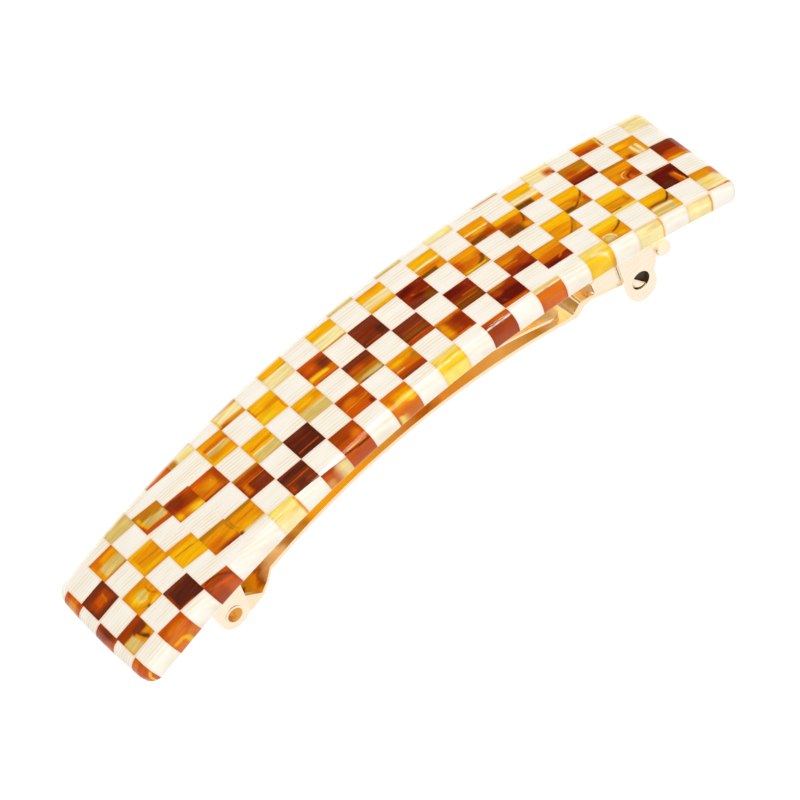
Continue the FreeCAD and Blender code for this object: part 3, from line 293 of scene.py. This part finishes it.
def place(s, y, r):
    return np.stack([r * np.sin(s / R), y, r * np.cos(s / R) - R + APEX], -1) / 1000.0


class Soup:
    def __init__(self):
        self.co, self.faces, self.col, self.cell, self.n = [], [], [], [], 0

    def add(self, co, col, cell):
        self.co.append(co.reshape(-1, 3)); self.col.append(col.reshape(-1, 3)); self.cell.append(cell.reshape(-1, 3))
        k = self.n
        self.n += len(self.co[-1])
        return k


def line_s(i):
    return PITCH * (i + 2.7216)


def tortoise_gap(i, s, y):
    """Distance from each point to the nearest tortoise block."""
    best = np.full(s.shape, 9.0)
    for j in (i - 1, i, i + 1):
        if j not in STRIPS:
            continue
        slant, blocks = STRIPS[j]
        lo, hi = line_s(j), line_s(j + 1)
        ds = np.maximum(np.maximum(lo - s, s - hi), 0)
        sl = slant * (np.clip(s, lo, hi) - line_s(j + 0.5)) / PITCH
        for (ya, yb, _, _) in blocks:
            dy = np.maximum(np.maximum(y - (ya + sl), (yb + sl) - y), 0)
            best = np.minimum(best, np.hypot(ds, dy))
    return best


def block(soup, i, slant, ya, yb, fine, painter, seed, v_top, v_len):
    """One bonded block between strip lines i and i+1, from far edge ya to near edge yb
    (at the strip's middle), as a closed solid."""
    s0, s1 = line_s(i), line_s(i + 1)
    if i == -16:
        s0 = -END_L - 1
    if i == 9:
        s1 = END_R + 1
    sm = line_s(i + 0.5)
    nu, nv = (26, 26) if fine else (10, 10)
    if i == -16 and fine:
        nu = 14
    span = abs(min(ya, HALF_W) - max(yb, -HALF_W))
    nv = max(6, int(round(nv * min(1.2, span / 4.0 + 0.12))))
    pu = np.linspace(0, 1, nu + 1)
    pv = np.linspace(0, 1, nv + 1)
    # rows first from the middle of the strip, then columns clipped to the outline
    U, Vv = np.meshgrid(pu, pv)
    sg = s0 + (s1 - s0) * U
    for _ in range(3):
        sl = slant * (np.clip(sg, -END_L, END_R) - sm) / PITCH
        top = np.clip(ya + sl, -HALF_W, HALF_W) if ya < HALF_W - 0.05 else np.full_like(sl, HALF_W)
        low = np.clip(yb + sl, -HALF_W, HALF_W) if yb > -HALF_W + 0.05 else np.full_like(sl, -HALF_W)
        y = from_arc(to_arc(top) * (1 - Vv) + to_arc(low) * Vv)
        if i == -16:
            # the rounded corner begins just past this strip's glue line
            y = np.clip(y, -HALF_W + 0.05, HALF_W - 0.05)
        liml, limr = s_limit(y, False), s_limit(y, True)
        left, right = np.maximum(s0, -liml), np.minimum(s1, limr)
        right = np.maximum(right, left)
        lim = liml if s0 < 0 else limr
        qa, qb = to_arc(left, lim), to_arc(right, lim)
        sg = from_arc(qa * (1 - U) + qb * U, lim)
    s = sg
    e = np.maximum(inset(s, y), 0)
    topr = R - drop(e)
    u = (s - line_s(i)) / PITCH
    sl = slant * (s - sm) / PITCH
    v = (v_top + sl - y) / v_len
    col = painter(u, v, s, y, seed)
    near_edge = tortoise_gap(i, s, y)
    cell = np.stack([u, v, near_edge], -1)
    k0 = soup.add(place(s, y, topr), col, cell)
    H, W = s.shape
    idx = lambda r, c: k0 + r * W + c
    wid = (right - left)[:, 0] if right.ndim > 1 else right - left
    for r in range(H - 1):
        for c in range(W - 1):
            soup.faces.append((idx(r + 1, c), idx(r + 1, c + 1), idx(r, c + 1), idx(r, c)))
    # wall down to the underside, rounded under at the outline
    ring = [(0, c) for c in range(W)] + [(r, W - 1) for r in range(1, H)] + [(H - 1, c) for c in range(W - 2, -1, -1)] + [(r, 0) for r in range(H - 2, 0, -1)]
    rs = np.array([s[a] for a in ring]); ry = np.array([y[a] for a in ring]); re = np.maximum(inset(rs, ry), 0)
    rt = np.array([topr[a] for a in ring]); rc = np.array([col[a] for a in ring]); rcell = np.array([cell[a] for a in ring])
    h = 0.01
    gs = (inset(rs + h, ry) - inset(rs - h, ry)) / (2 * h)
    gy = (inset(rs, ry + h) - inset(rs, ry - h)) / (2 * h)
    base_r = R - THK
    levels = [(0.35, 0.0), (0.7, 0.0), (1.0, 0.0)] + [(None, a) for a in (30, 60, 90)]
    prev = [idx(*a) for a in ring]
    for frac, ang in levels:
        if frac is not None:
            rr = rt + (base_r + RL - rt) * frac
            shift = np.zeros_like(rs)
        else:
            a = math.radians(ang)
            rr = np.full_like(rs, base_r + RL - RL * math.sin(a))
            shift = np.maximum(0, RL * (1 - math.cos(a)) - re)
        depth = (rt - rr) / THK
        # painted shade: the wall's colour darkens by up to a tenth towards the underside
        wall_painted_shade = rc * (1 - 0.10 * depth[:, None])
        k1 = soup.add(place(rs + gs * shift, ry + gy * shift, rr), wall_painted_shade, rcell)
        cur = list(range(k1, k1 + len(ring)))
        for a in range(len(ring)):
            b = (a + 1) % len(ring)
            soup.faces.append((prev[a], prev[b], cur[b], cur[a]))
        prev = cur
    soup.faces.append(tuple(prev))


def build(soup, name):
    me = bpy.data.meshes.new(name)
    co, col, cell = np.concatenate(soup.co), np.concatenate(soup.col), np.concatenate(soup.cell)
    me.from_pydata(co.tolist(), [], soup.faces)
    a = me.attributes.new("tone", "FLOAT_COLOR", "POINT")
    a.data.foreach_set("color", np.concatenate([col, np.ones((len(col), 1))], 1).astype(np.float32).ravel())
    a = me.attributes.new("cell", "FLOAT_VECTOR", "POINT")
    a.data.foreach_set("vector", cell.astype(np.float32).ravel())
    bm = bmesh.new()
    bm.from_mesh(me)
    bmesh.ops.dissolve_degenerate(bm, dist=2e-6, edges=bm.edges)
    bmesh.ops.recalc_face_normals(bm, faces=bm.faces)
    bm.to_mesh(me)
    bm.free()
    me.polygons.foreach_set("use_smooth", [True] * len(me.polygons))
    me.set_sharp_from_angle(angle=math.radians(38))
    ob = bpy.data.objects.new(name, me)
    bpy.context.scene.collection.objects.link(ob)
    return ob


ivory, tort = Soup(), Soup()
IV = lin((250, 243, 230))


def paint_ivory(u, v, s, y, seed):
    n = fbm(s * 0.35, y * 0.6, 4 + seed % 5, 2) - 0.5
    return np.clip(IV * (1 + 0.035 * n[..., None]), 0, 1)


for i, (slant, blocks) in STRIPS.items():
    edges = []
    for (ya, yb, text, extras) in blocks:
        edges.append((ya, yb))
        bl = bands(text)
        seed = (i + 17) * 7 + int(ya * 3) % 29
        block(tort, i, slant, ya, yb, True, lambda u, v, s, y, sd, bl=bl, ex=extras: paint(bl, ex, u, v, s, y, sd),
              seed, ya, ya - yb)
    cur = HALF_W + 3
    for (ya, yb) in edges + [(-HALF_W - 3, None)]:
        if min(cur, HALF_W) - max(ya, -HALF_W) > 0.12:
            v_top = cur if cur < HALF_W + 2 else ya + 4.0
            block(ivory, i, slant, cur, ya, False, paint_ivory, i + 20, v_top, max(v_top - ya, 3.6) if ya > -HALF_W - 2 else 4.0)
        cur = yb if yb is not None else cur

plate_ivory = build(ivory, "plate_ivory_checks")
plate_tort = build(tort, "plate_tortoise_checks")
for ob in (plate_ivory, plate_tort):
    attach(ob, "frame")
    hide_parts("acetate_plate")


# ---------------------------------------------------------------- materials
def new_mat(name):
    m = bpy.data.materials.new(name)
    m.use_nodes = True
    nt = m.node_tree
    for n in list(nt.nodes):
        nt.nodes.remove(n)
    out = nt.nodes.new("ShaderNodeOutputMaterial")
    b = nt.nodes.new("ShaderNodeBsdfPrincipled")
    nt.links.new(b.outputs["BSDF"], out.inputs["Surface"])
    return m, nt, b


def node(nt, kind, **props):
    n = nt.nodes.new(kind)
    for k, v in props.items():
        if k.startswith("in_"):
            n.inputs[k[3:].replace("_", " ")].default_value = v
        else:
            setattr(n, k, v)
    return n


def mixrgb(nt, a, b, fac, blend="MIX"):
    n = nt.nodes.new("ShaderNodeMix")
    n.data_type = "RGBA"
    n.blend_type = blend
    for sock, val in (("Factor", fac), ("A", a), ("B", b)):
        idx = {"Factor": 0, "A": 6, "B": 7}[sock]
        if hasattr(val, "is_linked") or hasattr(val, "links"):
            nt.links.new(val, n.inputs[idx])
        elif sock == "Factor":
            n.inputs[idx].default_value = val
        else:
            n.inputs[idx].default_value = tuple(val) + ((1.0,) if len(val) == 3 else ())
    return n.outputs[2]


def maths(nt, op, a, b=None, c=None):
    n = nt.nodes.new("ShaderNodeMath")
    n.operation = op
    for k, val in enumerate((a, b, c)):
        if val is None:
            continue
        if hasattr(val, "links"):
            nt.links.new(val, n.inputs[k])
        else:
            n.inputs[k].default_value = val
    return n.outputs[0]


def remap(nt, val, lo, hi, to_lo=0.0, to_hi=1.0):
    n = nt.nodes.new("ShaderNodeMapRange")
    n.inputs["From Min"].default_value = lo
    n.inputs["From Max"].default_value = hi
    n.inputs["To Min"].default_value = to_lo
    n.inputs["To Max"].default_value = to_hi
    nt.links.new(val, n.inputs["Value"])
    return n.outputs[0]


def noise(nt, vec, scale, detail=3.0, rough=0.5):
    n = nt.nodes.new("ShaderNodeTexNoise")
    n.inputs["Scale"].default_value = scale
    n.inputs["Detail"].default_value = detail
    n.inputs["Roughness"].default_value = rough
    nt.links.new(vec, n.inputs["Vector"])
    return n.outputs["Fac"]


def scaled(nt, vec, xyz):
    n = nt.nodes.new("ShaderNodeMapping")
    n.inputs["Scale"].default_value = xyz
    nt.links.new(vec, n.inputs["Vector"])
    return n.outputs[0]


def bump(nt, b, height, strength, dist):
    n = nt.nodes.new("ShaderNodeBump")
    n.inputs["Strength"].default_value = strength
    n.inputs["Distance"].default_value = dist
    nt.links.new(height, n.inputs["Height"])
    nt.links.new(n.outputs["Normal"], b.inputs["Normal"])


def underglow(nt, b, col, amount):
    """Light that the sheet lets through from its polished face shows as a glow on its underside."""
    geo = nt.nodes.new("ShaderNodeNewGeometry")
    z = nt.nodes.new("ShaderNodeSeparateXYZ")
    nt.links.new(geo.outputs["Normal"], z.inputs[0])
    nt.links.new(col, b.inputs["Emission Color"])
    nt.links.new(remap(nt, z.outputs["Z"], -0.35, -0.8, 0.0, amount), b.inputs["Emission Strength"])


# ivory acetate: warm white, finely lined along its length, polished
m_iv, nt, b = new_mat("ivory_acetate")
tc = nt.nodes.new("ShaderNodeTexCoord").outputs["Object"]
tone = node(nt, "ShaderNodeAttribute", attribute_name="tone").outputs["Color"]
cell = node(nt, "ShaderNodeAttribute", attribute_name="cell").outputs["Vector"]
sep = nt.nodes.new("ShaderNodeSeparateXYZ")
nt.links.new(cell, sep.inputs[0])
wob = noise(nt, scaled(nt, tc, (190, 520, 190)), 1.0, 3.0)
vline = maths(nt, "ADD", maths(nt, "MULTIPLY", sep.outputs["Y"], 8.0 * 2 * math.pi), maths(nt, "MULTIPLY", wob, 8.0))
stri = maths(nt, "MULTIPLY_ADD", maths(nt, "SINE", vline), 0.5, 0.5)
fade = remap(nt, noise(nt, scaled(nt, tc, (150, 620, 150)), 1.0, 2.0), 0.36, 0.64, 0.05, 1.0)
c1 = mixrgb(nt, tone, tuple(lin((238, 222, 190))), maths(nt, "MULTIPLY", maths(nt, "MULTIPLY", stri, fade), 0.9))
edge = remap(nt, sep.outputs["Z"], 0.0, 0.42, 1.0, 0.0)
c2 = mixrgb(nt, c1, tuple(lin((240, 196, 172))), maths(nt, "MULTIPLY", maths(nt, "POWER", edge, 2.0), 0.6))
nt.links.new(c2, b.inputs["Base Color"])
b.inputs["Roughness"].default_value = 0.08
b.inputs["IOR"].default_value = 1.46
b.inputs["Specular IOR Level"].default_value = 0.4
underglow(nt, b, c2, 0.75)
bump(nt, b, noise(nt, scaled(nt, tc, (300, 900, 300)), 1.0, 2.0), 0.05, 0.0001)
plate_ivory.data.materials.append(m_iv)

# tortoise acetate: deep, streaked, glassy
m_to, nt, b = new_mat("tortoise_acetate")
tc = nt.nodes.new("ShaderNodeTexCoord").outputs["Object"]
tone = node(nt, "ShaderNodeAttribute", attribute_name="tone").outputs["Color"]
st = noise(nt, scaled(nt, tc, (180, 2600, 180)), 1.0, 4.0, 0.6)
k = remap(nt, st, 0.38, 0.66)
dark = mixrgb(nt, tone, (0.86, 0.74, 0.60), 1.0, "MULTIPLY")
c1 = mixrgb(nt, dark, tone, k)
cl = noise(nt, scaled(nt, tc, (420, 700, 420)), 1.0, 3.0)
c2 = mixrgb(nt, c1, (1.0, 0.94, 0.80), remap(nt, cl, 0.66, 0.84, 0.0, 0.06))
# painted light: the far shoulder, where the normal turns to +Y and up, is painted paler towards cream
gn = nt.nodes.new("ShaderNodeNewGeometry")
sn = nt.nodes.new("ShaderNodeSeparateXYZ")
nt.links.new(gn.outputs["Normal"], sn.inputs[0])
far_shoulder_painted_light = maths(nt, "MULTIPLY", remap(nt, sn.outputs["Y"], 0.16, 0.55, 0.0, 0.62), remap(nt, sn.outputs["Z"], 0.30, 0.62))
c2 = mixrgb(nt, c2, (1.0, 0.96, 0.86), far_shoulder_painted_light)
nt.links.new(c2, b.inputs["Base Color"])
b.inputs["Roughness"].default_value = 0.05
b.inputs["IOR"].default_value = 1.46
b.inputs["Specular IOR Level"].default_value = 0.3
underglow(nt, b, c2, 1.3)
bump(nt, b, noise(nt, scaled(nt, tc, (260, 700, 260)), 1.0, 2.0), 0.04, 0.0001)
plate_tort.data.materials.append(m_to)


# clip metal: polished pale gold plate over steel, faintly drawn along X
def gold(name, rough, tint, recess=None, lit=0.0, pad=0.0):
    """recess: (x, z, radius, y_in, y_out, tone, keep) paints a hollow with a tone that stands in for light, rougher
    there, its metallic lowered to keep.
    lit: how much light is caught inside that hollow, painted as a glow. pad: the same painted glow for what stands
    above them, close under the plate."""
    m, nt, b = new_mat(name)
    tc = nt.nodes.new("ShaderNodeTexCoord").outputs["Object"]
    g = noise(nt, scaled(nt, tc, (300, 6000, 3000)), 1.0, 3.0)
    big = noise(nt, scaled(nt, tc, (220, 260, 260)), 1.0, 2.0)
    c = mixrgb(nt, tint, tuple(0.94 * x for x in tint), remap(nt, g, 0.35, 0.7))
    c = mixrgb(nt, c, tuple(x * y for x, y in zip(tint, (1.0, 0.95, 0.86))), remap(nt, big, 0.4, 0.7, 0.0, 0.6))
    r = maths(nt, "ADD", remap(nt, g, 0.3, 0.7, rough * 0.8, rough * 1.4), remap(nt, big, 0.45, 0.75, 0.0, 0.05))
    metal = 1.0
    if recess:
        x, z, rad, y0, y1, painted_hollow_tone, keep = recess
        p = nt.nodes.new("ShaderNodeSeparateXYZ")
        nt.links.new(tc, p.inputs[0])
        dx, dz = maths(nt, "SUBTRACT", p.outputs["X"], x), maths(nt, "SUBTRACT", p.outputs["Z"], z)
        d = maths(nt, "SQRT", maths(nt, "ADD", maths(nt, "MULTIPLY", dx, dx), maths(nt, "MULTIPLY", dz, dz)))
        ay = maths(nt, "ABSOLUTE", p.outputs["Y"])
        inside = maths(nt, "MULTIPLY", remap(nt, d, rad, rad * 0.94, 0.0, 1.0),
                       maths(nt, "MULTIPLY", maths(nt, "GREATER_THAN", ay, y0), maths(nt, "LESS_THAN", ay, y1)))
        if not lit:
            # only where the ear's sheet shades it, so that it clears once the clip opens
            ao = nt.nodes.new("ShaderNodeAmbientOcclusion")
            ao.inputs["Distance"].default_value = 0.004
            ao.samples = 16
            inside = maths(nt, "MULTIPLY", inside, remap(nt, ao.outputs["AO"], 0.84, 0.96, 1.0, 0.0))
        # painted light in the hollow: painted shade where the ear's sheet covers the tab, painted amber light in the
        # tube's bore
        c = mixrgb(nt, c, painted_hollow_tone, inside)
        r = maths(nt, "ADD", r, maths(nt, "MULTIPLY", inside, 0.4))
        metal = remap(nt, inside, 0.0, 1.0, 1.0, keep)
    nt.links.new(c, b.inputs["Base Color"])
    nt.links.new(r, b.inputs["Roughness"])
    if recess:
        nt.links.new(metal, b.inputs["Metallic"])
        if lit:
            # painted glow: amber light inside the hollow, as emission
            bore_painted_glow_hue = mixrgb(nt, (0.60, 0.38, 0.10), (0.20, 0.09, 0.015), remap(nt, noise(nt, scaled(nt, tc, (900, 500, 1500)), 1.0, 3.0), 0.5, 0.66))
            nt.links.new(bore_painted_glow_hue, b.inputs["Emission Color"])
            nt.links.new(maths(nt, "MULTIPLY", inside, lit), b.inputs["Emission Strength"])
        if pad:
            # painted glow on the pads close under the plate, as emission in the metal's colour; the pads are also
            # rougher and less metallic
            nt.links.new(c, b.inputs["Emission Color"])
            out = maths(nt, "MULTIPLY", remap(nt, p.outputs["Z"], 0.0056, 0.0062), remap(nt, p.outputs["X"], 0.0343, 0.0350))
            nt.links.new(maths(nt, "MULTIPLY", out, pad), b.inputs["Emission Strength"])
            nt.links.new(maths(nt, "ADD", r, maths(nt, "MULTIPLY", out, 0.3)), b.inputs["Roughness"])
            nt.links.new(maths(nt, "MINIMUM", metal, remap(nt, out, 0.0, 1.0, 1.0, 0.45)), b.inputs["Metallic"])
    else:
        b.inputs["Metallic"].default_value = 1.0
    bump(nt, b, g, 0.03, 0.00005)
    return m


PALE = (0.89, 0.765, 0.60)
m_sheet = gold("clip_gold_sheet", 0.14, PALE)
m_arm = gold("clip_gold_strip", 0.12, (0.88, 0.72, 0.50))


# what a strip shows on its upper side along X (mm): the checks above it, mirrored
# again and again between the gilt strips
UNDER_CHECKS = [(x, tuple(lin(v))) for x, v in (
    (-33.0, (196, 116, 22)), (-31.6, (208, 126, 12)), (-30.9, (88, 48, 8)), (-30.3, (212, 132, 14)), (-28.9, (222, 138, 10)),
    (-27.9, (150, 68, 4)), (-27.1, (204, 148, 76)), (-25.6, (222, 178, 112)), (-24.4, (234, 194, 130)), (-23.4, (190, 132, 58)),
    (-22.3, (176, 112, 42)), (-21.0, (206, 146, 50)), (-19.8, (196, 122, 28)), (-18.4, (236, 166, 16)), (-16.3, (231, 175, 26)),
    (-14.0, (231, 161, 14)), (-11.9, (230, 167, 28)), (-9.5, (230, 162, 26)), (-7.0, (218, 152, 46)), (-4.8, (218, 158, 54)),
    (-2.6, (208, 145, 62)), (0.0, (198, 110, 14)), (2.3, (176, 98, 14)), (4.4, (222, 150, 52)), (8.0, (214, 150, 56)),
    (14.0, (226, 176, 92)), (20.0, (200, 136, 40)), (24.0, (232, 196, 132)), (28.0, (206, 146, 60)), (31.0, (236, 202, 146)),
    (34.0, (214, 160, 84)))]


def between_glow(m, amount):
    """Amber light that comes down through the plate and is caught between the clip's strips."""
    nt = m.node_tree
    b = next(n for n in nt.nodes if n.type == "BSDF_PRINCIPLED")
    geo = nt.nodes.new("ShaderNodeNewGeometry")
    z = nt.nodes.new("ShaderNodeSeparateXYZ")
    nt.links.new(geo.outputs["Normal"], z.inputs[0])
    tc = nt.nodes.new("ShaderNodeTexCoord").outputs["Object"]
    px = nt.nodes.new("ShaderNodeSeparateXYZ")
    nt.links.new(tc, px.inputs[0])
    sway = remap(nt, noise(nt, scaled(nt, tc, (320, 420, 120)), 1.0, 2.0), 0.3, 0.7, -0.0011, 0.0011)
    ramp = nt.nodes.new("ShaderNodeValToRGB")
    els = ramp.color_ramp.elements
    x0, x1 = UNDER_CHECKS[0][0], UNDER_CHECKS[-1][0]
    els[0].position, els[0].color = 0.0, UNDER_CHECKS[0][1] + (1,)
    els[1].position, els[1].color = 1.0, UNDER_CHECKS[-1][1] + (1,)
    for x, col in UNDER_CHECKS[1:-1]:
        e = els.new((x - x0) / (x1 - x0))
        e.color = col + (1,)
    nt.links.new(remap(nt, maths(nt, "ADD", px.outputs["X"], sway), x0 / 1000, x1 / 1000), ramp.inputs[0])
    up = remap(nt, z.outputs["Z"], 0.55, 0.9)
    # painted reflection: the upward faces also take the mirrored checks, darkened, into their base colour, and glow
    # with them
    old = b.inputs["Base Color"].links[0].from_socket
    low = mixrgb(nt, ramp.outputs[0], (0.6, 0.6, 0.6), 1.0, "MULTIPLY")
    nt.links.new(mixrgb(nt, old, low, maths(nt, "MULTIPLY", up, 0.92)), b.inputs["Base Color"])
    nt.links.new(ramp.outputs[0], b.inputs["Emission Color"])
    nt.links.new(maths(nt, "MULTIPLY", up, amount), b.inputs["Emission Strength"])


between_glow(m_arm, 0.62)
m_rivet = gold("clip_gold_rivet", 0.12, (0.88, 0.72, 0.52))
# the tube's bore gets painted amber light and a painted glow; the tab gets painted shade behind the ear's hole and a
# painted glow on its finger pads
m_tube = gold("clip_gold_tube", 0.14, PALE, (-0.0343, 0.0044, 0.00115, 0.0, 0.00556, (0.62, 0.33, 0.06), 0.25), lit=0.5)
m_tab = gold("clip_gold_tab", 0.14, PALE, (0.0348, 0.0028, 0.0022, 0.0, 0.00475, (0.055, 0.04, 0.02), 0.3), pad=0.42)
for name, mat in (("base_plate", m_sheet), ("release_tab_near", m_tab), ("release_tab_far", m_tab),
                  ("latch_spring", m_sheet), ("locking_arm", m_arm), ("tension_bow", m_arm),
                  ("hinge_tube", m_tube), ("latch_rivet", m_rivet), ("fixing_pins", m_rivet)):
    ob = nodes[name]
    ob.data.materials.clear()
    ob.data.materials.append(mat)
    bv = ob.modifiers.new("edge", "BEVEL")
    bv.width = 0.00008
    bv.segments = 2
    bv.limit_method = "ANGLE"
    bv.angle_limit = math.radians(40)
    bv.harden_normals = False

# ------------------------------------------------------------ floor, light
FLOOR_Z = -0.078   # below the arm when the clip stands fully open
me = bpy.data.meshes.new("floor")
me.from_pydata([(-3, -3, FLOOR_Z), (3, -3, FLOOR_Z), (3, 3, FLOOR_Z), (-3, 3, FLOOR_Z)], [], [(0, 1, 2, 3)])
floor = bpy.data.objects.new("floor", me)
bpy.context.scene.collection.objects.link(floor)
m, nt, b = new_mat("floor_pale")
tc = nt.nodes.new("ShaderNodeTexCoord").outputs["Object"]
nt.links.new(mixrgb(nt, (0.44, 0.44, 0.44), (0.46, 0.46, 0.46), noise(nt, tc, 30.0)), b.inputs["Base Color"])
b.inputs["Roughness"].default_value = 0.6
b.inputs["Emission Color"].default_value = (1, 1, 1, 1)
b.inputs["Emission Strength"].default_value = 0.70
me.materials.append(m)

# studio surround: white low down and overhead, dim towards the back, so that
# the polished top mirrors a dark panel
world = bpy.data.worlds.new("studio")
bpy.context.scene.world = world
world.use_nodes = True
nt = world.node_tree
bg = nt.nodes["Background"]
geo = nt.nodes.new("ShaderNodeTexCoord").outputs["Generated"]
dot = nt.nodes.new("ShaderNodeVectorMath")
dot.operation = "DOT_PRODUCT"
nt.links.new(geo, dot.inputs[0])
dot.inputs[1].default_value = (0.12, 0.74, 0.66)
ramp = nt.nodes.new("ShaderNodeValToRGB")
ramp.color_ramp.elements[0].position = 0.45
ramp.color_ramp.elements[0].color = (0.80, 0.80, 0.80, 1)
ramp.color_ramp.elements[1].position = 0.78
ramp.color_ramp.elements[1].color = (0.07, 0.07, 0.07, 1)
nt.links.new(dot.outputs["Value"], ramp.inputs[0])
sepw = nt.nodes.new("ShaderNodeSeparateXYZ")
nt.links.new(geo, sepw.inputs[0])
low = nt.nodes.new("ShaderNodeMapRange")
low.interpolation_type = "SMOOTHSTEP"
low.inputs["From Min"].default_value, low.inputs["From Max"].default_value = 0.34, 0.20
nt.links.new(sepw.outputs["Z"], low.inputs["Value"])
sky = mixrgb(nt, ramp.outputs[0], (1.5, 1.5, 1.5), low.outputs[0])
back = remap(nt, sepw.outputs["Y"], 0.55, 0.80)
sky = mixrgb(nt, sky, (4.5, 4.5, 4.5), maths(nt, "MULTIPLY", low.outputs[0], back))
nt.links.new(sky, bg.inputs["Color"])
bg.inputs["Strength"].default_value = 0.52


def area(name, pos, target, sx, sy, power, roll=0.0):
    d = bpy.data.lights.new(name, "AREA")
    d.shape = "RECTANGLE"
    d.size, d.size_y = sx, sy
    d.energy = power
    o = bpy.data.objects.new(name, d)
    o.location = pos
    q = (Vector(target) - Vector(pos)).to_track_quat("-Z", "Y")
    o.rotation_euler = q.to_euler()
    bpy.context.scene.collection.objects.link(o)
    return o


area("key", (0.10, -0.12, 0.85), (0, 0, 0.01), 0.5, 0.4, 4.45)
area("fill", (-0.5, -0.6, 0.5), (0, 0, 0.01), 0.8, 0.8, 1.65)
area("strip", (0.23, 0.105, 0.50), (0.015, -0.009, 0.02), 0.12, 0.007, 0.26)

sc = bpy.context.scene
sc.view_settings.view_transform = "Standard"
sc.view_settings.look = "None"
